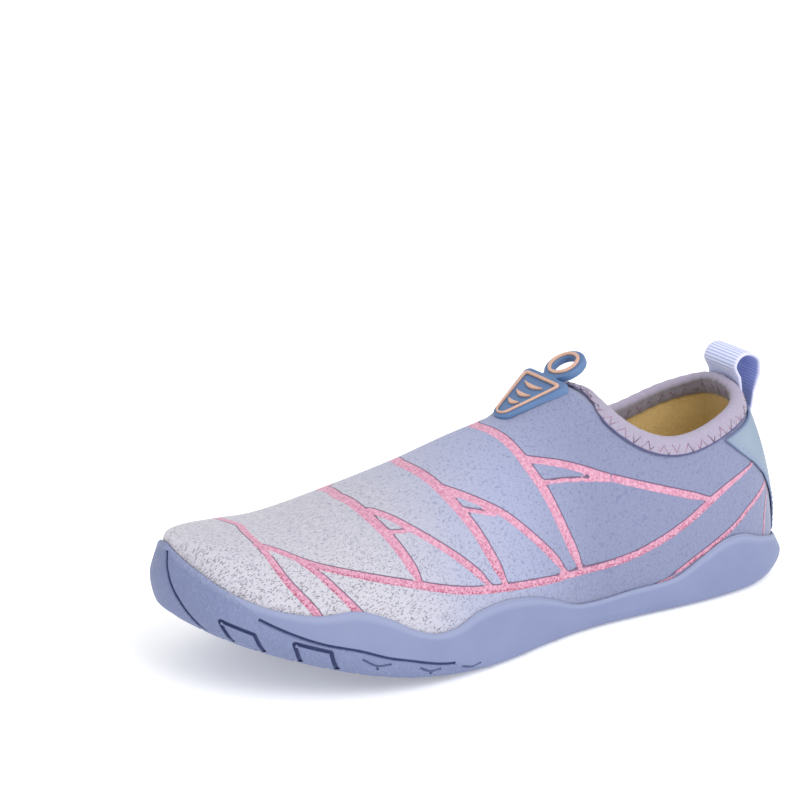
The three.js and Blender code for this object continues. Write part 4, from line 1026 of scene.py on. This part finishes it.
fleck = (knit.noise(ground, 1300, 2, 0.6) - 0.5 + 0.12 * band_upper_side.between(0.4, -1)).between(0.08, 0.16)
pink = knit.mix(fine.between(0.35, 0.65), linear("BC7B97"), linear("D3A0B6"))
flecked = knit.mix(fleck * off_rim.between(36, 8) * 0.75, pink, linear("93304F"))
banded = knit.mix(in_band, spotted, flecked)
outline = (band.between(-0.45, -0.1) * band.between(0.35, 0.05)) * band_upper_side.between(0.1, 0.6)
knit.colour(knit.mix(outline * 0.85, banded, linear("54405E")))
leather = knit.cells(ground, 420, "DISTANCE_TO_EDGE").between(0, 0.25)
relief = 0.5 * leather * (1 - toe_share) + 0.35 * fine - 0.5 * dotted + 0.6 * in_band
knit.bump(relief, 0.22, 0.7)
dress(knit_skin, knit, ["upper"], sharp=60)

# Lining: a tan brushed cloth bonded to the inside of the knit
LINING_GAP = 0.05
points, faces = skin(-KNIT_THICKNESS - LINING_GAP, 2, 2, 1)
toe_room = np.array([UPPER_END - 18, ridge_across(0.93), 37])
tucked = 0.2 * np.clip((points[:, 0] - toe_room[0]) / 10, 0, 1)
points += tucked[:, None] * (toe_room - points)
lining = make_mesh("upper_lining", points, faces)
solid_skin(lining, WALL - KNIT_THICKNESS - LINING_GAP)
brushed = Finish("lining", Roughness=0.95, Sheen_Weight=0.5, Sheen_Roughness=0.4)
ground = brushed.place()
nap = brushed.noise(ground, 700, 4, 0.7)
tufts = brushed.noise(ground, 130, 3)
forward, _, upward = brushed.apart(ground)
heel_share = (forward - 0.45 * upward).between(-0.0935, -0.0945)
tan = brushed.mix(nap, linear("E4DACB"), linear("FAF3EA"))
ochre = brushed.mix(nap, linear("EDC470"), linear("FCE09E"))
brushed.colour(brushed.mix(tufts * 0.25, brushed.mix(heel_share, tan, ochre), linear("A88C66")))
brushed.bump(nap + tufts, 0.4)
dress(lining, brushed, ["upper"], sharp=60)

# Heel patch: a thin synthetic film fused and stitched over the back of the knit, up to the binding
PATCH_THICKNESS = 0.8
PATCH_EDGE = (
    (0, 0.006), (20, 0.009), (30, 0.014), (42, 0.039), (48, 0.062), (54, 0.094), (60, 0.124),
    (68, 0.155),
)
PATCH_FITS = 8
BINDING_WIDTH = 6.5
OUTER_LEG = 5.4
PATCH_COLUMNS = 120
PATCH_ROWS = 60
edge = np.array(PATCH_EDGE)


def patch_side(side):
    """Half of the patch, from the back's centre line to its front edge, as columns of points."""
    reach = np.linspace(0, 1, PATCH_COLUMNS // 2 + 1) ** 2
    foot_height = underside(UPPER_START) + 0.5 * RIM_HEIGHT
    heights = np.linspace(0, 1, PATCH_ROWS + 1)
    grid = []
    for share in reach:
        column = []
        for height in heights:
            z = foot_height + (COLLAR_BACK_HEIGHT - BINDING_WIDTH - foot_height) * height
            for _ in range(PATCH_FITS):
                x = UPPER_START + np.interp(z, edge[:, 0], edge[:, 1]) * SOLE_LENGTH * share
                along = (x - UPPER_START) / (COLLAR_LENGTH - UPPER_START)
                top = collar_height(along) - OUTER_LEG - 0.7
                rim = underside(x) + rim_height[side](x / SOLE_LENGTH) + 0.4
                z = 0.5 * z + 0.5 * (rim + (top - rim) * height)
            column.append((x, z))
        grid.append(column)
    grid = np.array(grid)
    x, z = grid[..., 0].ravel(), grid[..., 1].ravel()
    return upper_point(side, x, turn_at_height(side, x, z)).reshape(*grid.shape[:2], 3)


half_patches = {side: patch_side(side) for side in SIDES}
patch_grid = np.concatenate([half_patches["medial"][::-1], half_patches["lateral"][1:]])
columns, rows = patch_grid.shape[:2]
ways = unit(np.cross(np.gradient(patch_grid, axis=1), np.gradient(patch_grid, axis=0)))
inward = np.minimum(*np.meshgrid(np.minimum(np.arange(columns), np.arange(columns)[::-1]),
                                 np.minimum(np.arange(rows), np.arange(rows)[::-1]), indexing="ij"))
rounding = np.where(inward == 0, -0.45, np.where(inward == 1, -0.12, 0.0))
outer = patch_grid + (FIT + PATCH_THICKNESS + rounding)[..., None] * ways
patch_values = {"front": np.repeat(np.abs(np.linspace(-1, 1, columns)), rows),
                "edge": inward.ravel().astype(float)}
patch_faces = grid_faces(columns, rows, wrap_columns=False)
patch = make_mesh("heel_overlay", outer.reshape(-1, 3), patch_faces, patch_values)
solid_skin(patch, PATCH_THICKNESS - 0.3)
film = Finish("heel_overlay", Roughness=0.62)
ground = film.place()
mottle = film.noise(ground, 70, 3)
film_colour = film.mix(mottle, linear("75869C"), linear("96A5B6"))
# The patch's outer rows, where its edge rolls down to the knit, are painted darker: painted shade along the
# edge.
edge_shade = film.field("edge").between(1.6, 0.4)
film.colour(film.mix(edge_shade * 0.8, film_colour, linear("56648F")))
film.rough(0.55 + 0.2 * mottle)
film.bump(film.noise(ground, 1100, 3), 0.12, 0.6)
dress(patch, film, ["heel_patch"])


THREAD_SIDES = 6
THREAD_UP = (0.31, 0.17, 0.93)


def tube(line, radius, closed=False):
    """A thin round tube along a line of points, for stitches and threads."""
    ahead = way_ahead(line, closed)
    level = unit(np.cross(ahead, THREAD_UP))
    over = np.cross(level, ahead)
    turn = 2 * np.pi * np.arange(THREAD_SIDES)[:, None] / THREAD_SIDES
    rings = line[:, None] + radius * (np.cos(turn) * level[:, None] + np.sin(turn) * over[:, None])
    faces = grid_faces(len(line), THREAD_SIDES, wrap_columns=closed, wrap_rows=True)
    if not closed:
        faces += end_faces(len(line), THREAD_SIDES)
    return rings.reshape(-1, 3), faces


def join(parts):
    """Several lots of points and faces as one."""
    points, faces = [], []
    start = 0
    for part_points, part_faces in parts:
        points.append(part_points)
        faces += [[corner + start for corner in face] for face in part_faces]
        start += len(part_points)
    return np.concatenate(points), faces


def snapped(points, gap):
    """Points moved on to the upper's face and out by a gap, with the outward way at each."""
    placed, ways = [], []
    for point in (np.asarray(points) - ORIGIN) * MM:
        place, way, _, _ = wall_tree.find_nearest(Vector(point))
        placed.append(np.array(place + way * gap * MM) / MM + ORIGIN)
        ways.append(np.array(way))
    return np.array(placed), np.array(ways)


def stitch_row(line, gap, pitch=2.6, length=1.7, radius=0.22):
    """Separate stitches along a line on the upper: each one rises out of the cloth and dips back in."""
    run = distance_along(line)
    stitches = []
    for start in np.arange(0.3 * pitch, run[-1] - length, pitch):
        share = np.linspace(0, 1, 5)
        placed, ways = snapped(at_distances(line, run, start + length * share), gap)
        rise = radius * (np.sin(np.pi * share) - 0.6)
        stitches.append(tube(placed + rise[:, None] * ways, radius))
    return stitches


seams = []
for column in (4, columns - 5):
    seams += stitch_row(patch_grid[column], FIT + PATCH_THICKNESS)
patch_thread = make_mesh("heel_overlay_stitches", *join(seams))
thread = Finish("pale_thread", Roughness=0.7, Sheen_Weight=0.2)
twist = thread.noise(thread.place(), 2500, 2)
thread.colour(thread.mix(twist, linear("6C7AA8"), linear("A3AFD0")))
dress(patch_thread, thread, ["heel_patch"])

# Collar binding: soft elastic tape folded over the raw edge of the knit and its lining. A zigzag stitch
# holds each of its two legs.
BINDING_THICKNESS = 0.75
TAPE_EASING = 14
BINDING_STATIONS = 420
LEG_POINTS = 9
CROWN_POINTS = 9
collar_columns = np.concatenate([np.arange(COLLAR_COLUMNS + 1),
                                 np.arange(len(wall) - COLLAR_COLUMNS, len(wall))])
edge = wall[collar_columns, -1]
edge_ways = wall_ways[collar_columns, -1]


def around(line, count, smooth=0):
    """A closed line with evenly spaced points, eased by averaging each point with its neighbours."""
    for _ in range(smooth):
        line = (np.roll(line, 1, axis=0) + 2 * line + np.roll(line, -1, axis=0)) / 4
    looped = np.concatenate([line, line[:1]])
    run = distance_along(looped[:, :3])
    return at_distances(looped, run, np.linspace(0, run[-1], count, endpoint=False)), run[-1]


both, collar_run = around(np.concatenate([edge, edge_ways], axis=1), BINDING_STATIONS, smooth=45)
edge, edge_ways = both[:, :3], unit(both[:, 3:])
ahead = way_ahead(edge, closed=True)
down = unit(np.cross(edge_ways, ahead))
edge_ways = unit(np.cross(ahead, down))


def leg(distances, gaps):
    """Points down the wall from the collar's edge: distances along it, and gaps out from the outer face."""
    grid = []
    for distance, gap in zip(distances, gaps):
        placed, ways = snapped(edge + distance * down, 0)
        ways *= np.sign(np.einsum("ij,ij->i", ways, edge_ways))[:, None]
        grid.append(placed + np.reshape(gap, (-1, 1)) * ways)
    return grid


def crown(radius, count):
    """Points over the edge from the outer face to the inner one."""
    turns = np.linspace(0, np.pi, count + 2)[1:-1]
    middle = edge - 0.5 * WALL * edge_ways
    return [middle + radius * (np.cos(turn) * edge_ways - np.sin(turn) * down) for turn in turns]


inside_gap = 1.5 * FIT
puff = BINDING_THICKNESS + 0.25 * np.sin(np.linspace(0, np.pi, LEG_POINTS)) ** 2
outer_distances = np.linspace(OUTER_LEG, 0, LEG_POINTS)
inner_distances = np.linspace(0, BINDING_WIDTH, LEG_POINTS)
thickness = puff * np.clip(np.linspace(0.45, 3, LEG_POINTS), 0, 1)
outer_leg = leg(outer_distances, inside_gap + thickness)
inner_leg = leg(inner_distances, -WALL - inside_gap - thickness[::-1])
crown_radius = 0.5 * WALL + inside_gap + BINDING_THICKNESS
over_edge = crown(crown_radius, CROWN_POINTS)
hidden = [
    *leg((BINDING_WIDTH - 0.3, 0.5 * BINDING_WIDTH, 0.2), (-WALL - inside_gap,) * 3),
    *crown(0.5 * WALL + inside_gap, 3)[::-1],
    *leg((0.2, 0.5 * OUTER_LEG, OUTER_LEG - 0.3), (inside_gap,) * 3),
]
tape_grid = np.stack([*outer_leg, *over_edge, *inner_leg, *hidden], axis=1)
for _ in range(TAPE_EASING):
    tape_grid = (np.roll(tape_grid, 1, axis=0) + 2 * tape_grid + np.roll(tape_grid, -1, axis=0)) / 4
columns, rows = tape_grid.shape[:2]
crumple_place = np.linspace(0, 2 * np.pi, columns, endpoint=False)
back_share = np.clip(1 - np.minimum(crumple_place, 2 * np.pi - crumple_place) / 0.35, 0, 1)
ripple = 0.22 * np.sin(38 * crumple_place) + 0.5 * back_share * np.sin(61 * crumple_place)
faced_rows = 2 * LEG_POINTS + CROWN_POINTS
faced = np.arange(rows) < faced_rows
tape_grid += (ripple[:, None] * faced * 0.45)[..., None] * edge_ways[:, None]
across = np.concatenate([np.linspace(0, 1, faced_rows), np.full(rows - faced_rows, 0.5)])
tape_values = {
    "over": np.tile(across, columns),
    "around": np.repeat(np.linspace(0, collar_run, columns), rows),
}
tape_faces = grid_faces(columns, rows, wrap_rows=True)
binding = make_mesh("collar_tape", tape_grid.reshape(-1, 3), tape_faces, tape_values)
elastic = Finish("elastic_tape", Roughness=0.8, Sheen_Weight=0.3, Sheen_Roughness=0.4)
ground = elastic.place()
over = elastic.field("over")
weave = elastic.noise(ground, 1500, 3, 0.7)
smudge = elastic.noise(ground, 110, 3)
inside = over.between(0.55, 0.68)
outside_colour = elastic.mix(weave, linear("8F889C"), linear("AEA6BA"))
inside_colour = elastic.mix(weave, linear("857F8C"), linear("A6A0AA"))
tape_colour = elastic.mix(inside, outside_colour, inside_colour)
smudged = elastic.mix(smudge.between(0.55, 0.75) * 0.4, tape_colour, linear("A58FB0"))
# The lower edge of the tape's outer leg is painted dark: a painted shadow line where the tape meets the knit.
edge_shadow = over.between(0.05, 0.03)
elastic.colour(elastic.mix(edge_shadow * 0.9, smudged, linear("3A3E6E")))
elastic.bump(weave, 0.2, 0.8)
dress(binding, elastic, ["collar_binding"], sharp=70)


def tape_face(share_around, distance, gap, inside=False):
    """Points on the tape's face, at a share of the way round and a distance down from the collar's edge."""
    column = share_around * BINDING_STATIONS
    near = np.floor(column).astype(int)
    part = (column - near)[:, None]

    def at(values):
        return values[near % BINDING_STATIONS] * (1 - part) + values[(near + 1) % BINDING_STATIONS] * part

    placed, ways = snapped(at(edge) + np.reshape(distance, (-1, 1)) * at(down), 0)
    ways *= np.sign(np.einsum("ij,ij->i", ways, at(edge_ways)))[:, None]
    lift = inside_gap + BINDING_THICKNESS + 0.16 + gap
    return placed + (-(WALL + lift) if inside else lift) * ways


ZIGZAGS = 62
ZIGZAG_RADIUS = 0.19
draw = np.random.default_rng(7)


def zigzag(inside):
    """One thread that zigzags round the tape. Its turns are uneven, as the machine left them."""
    corners = np.arange(2 * ZIGZAGS)
    places = (corners + draw.uniform(-0.2, 0.2, len(corners))) / len(corners)
    distances = np.where(corners % 2 == 0, 1.4, 4.4) + draw.uniform(-0.4, 0.4, len(corners))
    steps = 6
    share = np.arange(len(corners) * steps) / steps
    looped = np.concatenate([places, [places[0] + 1]])
    around_shares = np.interp(share, np.arange(len(looped)), looped) % 1
    down_distances = np.interp(share, np.arange(len(looped)), np.concatenate([distances, distances[:1]]))
    dip = -0.12 * np.abs(np.cos(np.pi * share))
    line = tape_face(around_shares, down_distances, 0, inside)
    lowered = tape_face(around_shares, down_distances, -0.2, inside)
    return tube(line + (dip / 0.2)[:, None] * (line - lowered), ZIGZAG_RADIUS, closed=True)


tape_thread = make_mesh("collar_zigzag", *join([zigzag(False), zigzag(True)]))
dark_thread = Finish("zigzag_thread", Roughness=0.65, Sheen_Weight=0.2)
tone = dark_thread.noise(dark_thread.place(), 160, 2).between(0.42, 0.6)
dark_thread.colour(dark_thread.mix(tone, linear("5E4860"), linear("93718A")))
dress(tape_thread, dark_thread, ["collar_binding"])

# Pull loop: ribbed webbing sewn behind the collar, turned over and sewn down on the heel patch
LOOP_WIDTH = 19
LOOP_THICKNESS = 1.2
LOOP_RISE = 9
LOOP_DEPTH = 11.5
LOOP_FOOT_HEIGHT = 55
LOOP_TOP_RADIUS = 4.6
RIB_PITCH = 1.15
RIB_HEIGHT = 0.14
RIB_STEPS = 6


def heel_back(z):
    return UPPER_START + heel_lean(UPPER_START, z)


def loop_line():
    """The webbing's centre line from the inner seam over the top and down to its foot."""
    seat = FIT + LOOP_THICKNESS / 2
    behind = seat + FIT + BINDING_THICKNESS
    start = COLLAR_BACK_HEIGHT - BINDING_WIDTH
    top = COLLAR_BACK_HEIGHT + LOOP_RISE - LOOP_TOP_RADIUS
    front = heel_back(COLLAR_BACK_HEIGHT)
    back = front - LOOP_DEPTH
    middle = start + BINDING_WIDTH / 2
    knee = LOOP_FOOT_HEIGHT + LOOP_WIDTH / 4
    knee_x = heel_back(knee) - 1.6 * seat - PATCH_THICKNESS
    controls = (
        (heel_back(start) - behind - FIT, start),
        (heel_back(middle) - behind - FIT, middle),
        (front - behind - FIT, COLLAR_BACK_HEIGHT),
        (front, top),
        (front + 0.15 * (back - front), top + 0.75 * LOOP_TOP_RADIUS),
        (front + 0.45 * (back - front), top + LOOP_TOP_RADIUS),
        (front + 0.8 * (back - front), top + 0.7 * LOOP_TOP_RADIUS),
        (back, top),
        (back + 0.1 * (knee_x - back), 0.6 * top + 0.4 * knee),
        (back + 0.45 * (knee_x - back), 0.25 * top + 0.75 * knee),
        (knee_x, knee),
        (heel_back(LOOP_FOOT_HEIGHT) - seat - PATCH_THICKNESS, LOOP_FOOT_HEIGHT),
    )
    smooth = catmull_rom(controls, (10,) * (len(controls) - 1))
    run = distance_along(smooth)
    even = np.arange(0, run[-1], RIB_PITCH / RIB_STEPS)
    return at_distances(smooth, run, even), even


def webbing():
    """The ribbon's closed section at each step along it, with a rib across every pitch."""
    line, run = loop_line()
    ahead = unit(np.gradient(line, axis=0))
    thick = np.column_stack([-ahead[:, 1], 0 * run, ahead[:, 0]])
    rib = RIB_HEIGHT * np.abs(np.sin(np.pi * run / RIB_PITCH)) - 0.5 * RIB_HEIGHT
    wrap = np.clip((COLLAR_BACK_HEIGHT - line[:, 1]) / BINDING_WIDTH, 0, 1)
    shares = np.concatenate([[-1, -0.995], np.linspace(-0.96, 0.96, 13), [0.995, 1]])
    edge_round = np.sqrt(np.clip(1 - (np.abs(shares) - 0.96).clip(0) ** 2 / 0.04**2, 0.04, 1))
    grid, across, outside = [], [], []
    for face in (1, -1):
        order = range(len(shares)) if face == 1 else reversed(range(len(shares)))
        for place in order:
            y = 0.5 * LOOP_WIDTH * shares[place]
            selvage = 1 if abs(shares[place]) < 0.9 else 0.3
            depth = 0.5 * LOOP_THICKNESS * edge_round[place] + selvage * rib
            rounding = wrap * y * y / (0.72 * HEEL_WIDTH)
            point = np.column_stack([line[:, 0] + rounding, y + 0 * run, line[:, 1]])
            grid.append(point + (face * depth)[:, None] * thick)
            across.append(shares[place])
            outside.append(face)
    return np.stack(grid, axis=1), run, np.array(across), np.array(outside)


grid, run, across, outside = webbing()
columns, rows = grid.shape[:2]
faces = grid_faces(columns, rows, wrap_columns=False, wrap_rows=True) + end_faces(columns, rows)
loop_values = {
    "rib": np.repeat(np.abs(np.sin(np.pi * run / RIB_PITCH)), rows),
    "across": np.tile(np.abs(across), columns),
    "outside": np.tile(outside, columns),
}
loop = make_mesh("heel_loop", grid.reshape(-1, 3), faces, loop_values)
ribbed = Finish("webbing", Roughness=0.7, Sheen_Weight=0.3)
ground = ribbed.place()
fibre = ribbed.noise(ribbed.stretched(ground, (1, 0.3, 1)), 2500, 3)
rib = ribbed.field("rib")
selvage = ribbed.field("across").between(0.86, 0.92)
# The ribs are painted lighter on their crests and darker in the troughs between them: painted highlight and
# painted shade on the ribbing.
outer_rib_shading = ribbed.mix(rib.between(0.25, 0.75), linear("8799D6"), linear("D5DBF6"))
inner_rib_shading = ribbed.mix(rib.between(0.2, 0.8), linear("6076C4"), linear("8A9CDC"))
faced = ribbed.mix(ribbed.field("outside").between(-0.2, 0.2), outer_rib_shading, inner_rib_shading)
edged = ribbed.mix(selvage * 0.8, faced, linear("CFD0EA"))
ribbed.colour(ribbed.mix(fibre * 0.3, edged, linear("E9E8F6")))
ribbed.bump(fibre, 0.12)
dress(loop, ribbed, ["pull_loop"], sharp=60)

# The loop's foot is held by a row of stitches across it
foot_line = []
for y in np.linspace(-0.44 * LOOP_WIDTH, 0.44 * LOOP_WIDTH, 25):
    z = LOOP_FOOT_HEIGHT + 1.6
    foot_line.append((heel_back(z) + y * y / (0.72 * HEEL_WIDTH), y, z))
foot_seam = stitch_row(np.array(foot_line), FIT + PATCH_THICKNESS + LOOP_THICKNESS + 0.1, 2.2, 1.6, 0.25)
loop_thread = make_mesh("heel_loop_stitches", *join(foot_seam))
dress(loop_thread, thread, ["pull_loop"])

# Instep tab: a moulded rubber shield sewn over the end of the throat, with a finger ring. Peach rims and
# crescents stand on it.
RING_RADIUS = 8
RING_HOLE_RADIUS = 4.4
RING_TRIM_RADIUS = 5.5
RING_NECK = 9
RING_OVERLAP = 0.7
TRIM_HEIGHT = 0.8
TRIM_WIDTH = 1.35
TRIM_MARGIN = 2.3
RING_CENTRE = TAB_LENGTH + RING_RADIUS - RING_OVERLAP


def on_tab(points):
    """Points of the tab's own plane on the shoe's axes."""
    return tab_origin + np.asarray(points) @ tab_axes


def shield(margin, count=16):
    """The shield's outline, a margin inside its edge: a rounded tip and two rounded corners."""
    tip_radius = TAB_WIDTH / 5
    top = TAB_LENGTH - margin
    half = TAB_WIDTH / 2 - margin
    corner = max(TAB_CORNER - margin / 2, 0.8)
    turn = np.linspace(0.62 * np.pi, 1.38 * np.pi, count)
    tip = tip_radius - 0.6 * margin
    outline = [np.column_stack([tip_radius + tip * np.cos(turn), tip * np.sin(turn)])]
    outline.append(bowed((top - corner, -half), (top, -half), (top, -half + corner), count // 2))
    outline.append(bowed((top, half - corner), (top, half), (top - corner, half), count // 2))
    return np.concatenate(outline)


def even_outline(outline, count):
    """A closed outline with evenly spaced points."""
    points, _ = around(np.column_stack([outline, 0 * outline[:, 0]]), count, smooth=1)
    return points[:, :2]


def moulded(name, outline, hole, low, high, rounding):
    """A flat moulded piece with rounded edges, from a filled and bevelled outline."""
    curve = bpy.data.curves.new(name, "CURVE")
    curve.dimensions = "2D"
    curve.fill_mode = "BOTH"
    for line in filter(lambda line: line is not None, (outline, hole)):
        spline = curve.splines.new("POLY")
        spline.points.add(len(line) - 1)
        spline.points.foreach_set("co", np.column_stack([line, 0 * line[:, 0], np.ones(len(line))]).ravel())
        spline.use_cyclic_u = True
    curve.extrude = 0.5 * (high - low) - rounding
    curve.bevel_depth = rounding
    curve.bevel_resolution = 4
    curve.offset = -rounding
    shape = bpy.data.objects.new(name, curve)
    bpy.context.scene.collection.objects.link(shape)
    mesh = bpy.data.meshes.new_from_object(shape.evaluated_get(bpy.context.evaluated_depsgraph_get()))
    bpy.data.objects.remove(shape)
    points = np.array([vertex.co[:] for vertex in mesh.vertices])
    points[:, 2] += 0.5 * (high + low)
    return points, [list(face.vertices) for face in mesh.polygons]


def circle(x, radius, count=64):
    turn = np.linspace(0, 2 * np.pi, count, endpoint=False)
    return np.column_stack([x + radius * np.cos(turn), radius * np.sin(turn)])


def seated(points):
    """Lowers the shield's underside to the upper's face below it."""
    placed = points.copy()
    for place, point in enumerate(points):
        if point[2] > 0:
            continue
        start = (on_tab(point + (0, 0, 40)) - ORIGIN) * MM
        hit, _, _, distance = wall_tree.ray_cast(Vector(start), Vector(-tab_axes[2]))
        if hit is not None:
            face = point[2] + 40 - distance / MM
            placed[place, 2] = min(TAB_THICKNESS - 1.2, max(face + FIT, -TAB_THICKNESS))
    return placed


TAB_ROUNDING = 0.8
plate_points, plate_faces = moulded("shield", even_outline(shield(0), 150), None, -TAB_THICKNESS,
                                    TAB_THICKNESS, TAB_ROUNDING)
ring = moulded("ring", circle(RING_CENTRE, RING_RADIUS), circle(RING_CENTRE, RING_HOLE_RADIUS),
               0, TAB_THICKNESS, TAB_ROUNDING)
neck_half = RING_NECK / 2
half_neck = np.array([(-4, neck_half), (1, neck_half), (3, 0.8 * neck_half)]) + (TAB_LENGTH, 0)
neck_outline = np.concatenate([half_neck * (1, -1), half_neck[::-1]])
neck = moulded("neck", even_outline(neck_outline, 48), None, 0.2, TAB_THICKNESS - 0.1, 0.5)
tab_parts = []
for points, faces in ((seated(plate_points), plate_faces), neck, ring):
    tab_parts.append(make_mesh("tab_part", on_tab(points), faces))
tab = tab_parts[0]
for part in tab_parts[1:]:
    merge = tab.modifiers.new("merge", "BOOLEAN")
    merge.operation = "UNION"
    merge.solver = "EXACT"
    merge.object = part
    apply_modifiers(tab)
    bpy.data.objects.remove(part)
tab.name = "instep_tab"
tab_rubber = Finish("tab_rubber", Roughness=0.45, Specular_IOR_Level=0.45)
ground = tab_rubber.place()
mottle = tab_rubber.noise(ground, 120, 3)
tab_rubber.colour(tab_rubber.mix(mottle, linear("4A6996"), linear("5E7CA6")))
tab_rubber.rough(0.38 + 0.2 * mottle)
tab_rubber.bump(tab_rubber.noise(ground, 1400, 2), 0.06)
dress(tab, tab_rubber, ["pull_tab"], sharp=50)

trim_rubber = Finish("trim_rubber", Roughness=0.5)
ground = trim_rubber.place()
worn = trim_rubber.noise(ground, 300, 3)
trim_rubber.colour(trim_rubber.mix(worn, linear("C39A86"), linear("D2AC98")))
trim_rubber.bump(trim_rubber.noise(ground, 1400, 2), 0.06)
trim_base = TAB_THICKNESS - 0.1


def trim(name, outline, hole, node):
    points, faces = moulded(name, outline, hole, trim_base, trim_base + TRIM_HEIGHT + FIT, 0.45)
    dress(make_mesh(name, on_tab(points), faces), trim_rubber, [node], sharp=60)


trim("shield_rim", even_outline(shield(TRIM_MARGIN), 120),
     even_outline(shield(TRIM_MARGIN + TRIM_WIDTH), 120), "tab_outline")
trim("ring_rim", circle(RING_CENTRE, RING_TRIM_RADIUS + TRIM_WIDTH / 2),
     circle(RING_CENTRE, RING_TRIM_RADIUS - TRIM_WIDTH / 2),
     "tab_ring_rim")
GRIPS = ((0.36, 0.26), (0.54, 0.36), (0.73, 0.46))
for number, (grip_along, grip_across) in enumerate(GRIPS):
    x = grip_along * TAB_LENGTH
    half = grip_across * TAB_WIDTH / 2
    near, far = [bowed((x, -half), (x - bow * TRIM_WIDTH, 0), (x, half), 22) for bow in (0.5, 3.2)]
    crescent = np.concatenate([near, far[-2:0:-1]])
    trim(f"grip_{number + 1}", even_outline(crescent, 60), None, f"tab_grip_{number + 1}")

# Stage: a plain pale floor under a white sky, and one broad soft lamp above the shoe's outer side
FLOOR_SIZE = 6
floor_mesh = bpy.data.meshes.new("floor")
corners = [(x * FLOOR_SIZE, y * FLOOR_SIZE, -0.0002) for x, y in ((-1, -1), (1, -1), (1, 1), (-1, 1))]
floor_mesh.from_pydata(corners, [], [(0, 1, 2, 3)])
floor = bpy.data.objects.new("floor", floor_mesh)
bpy.context.scene.collection.objects.link(floor)
paper = Finish("floor", Roughness=0.9, Specular_IOR_Level=0.1, Emission_Strength=0.25)
paper.colour(paper.mix(paper.noise(paper.place(), 3), (0.93, 0.93, 0.94, 1), (0.95, 0.95, 0.955, 1)))
floor_mesh.materials.append(paper.material)

sky = bpy.data.worlds.new("sky")
sky.use_nodes = True
sky.node_tree.nodes["Background"].inputs["Color"].default_value = (1, 1, 1, 1)
sky.node_tree.nodes["Background"].inputs["Strength"].default_value = 0.9
bpy.context.scene.world = sky
bpy.context.scene.view_settings.view_transform = "Standard"


def lamp(name, place, aim, size, power):
    """A square soft lamp that faces a point."""
    light = bpy.data.lights.new(name, "AREA")
    light.size = size
    light.energy = power
    holder = bpy.data.objects.new(name, light)
    holder.location = place
    holder.rotation_mode = "QUATERNION"
    holder.rotation_quaternion = (Vector(aim) - Vector(place)).to_track_quat("-Z", "Y")
    bpy.context.scene.collection.objects.link(holder)


lamp("key", (-0.1, 1.1, 1.1), (0, 0.05, 0.02), 1.0, 12)

# Camera: the photograph's own angle and lens, worked out from the outlines of the soles
camera = bpy.data.cameras.new("camera")
camera.lens = 129.2
camera.sensor_width = 36
camera.clip_start = 0.05
camera.clip_end = 50
viewer = bpy.data.objects.new("camera", camera)
right = (-0.84674, 0.53201, -0.00023)
over = (-0.1658, -0.26348, 0.95031)
ahead = (-0.50551, -0.8047, -0.31131)
turn = Matrix([right, over, [-part for part in ahead]]).transposed()
viewer.matrix_world = Matrix.Translation((0.54346, 0.80909, 0.40275)) @ turn.to_4x4()
bpy.context.scene.collection.objects.link(viewer)
bpy.context.scene.camera = viewer
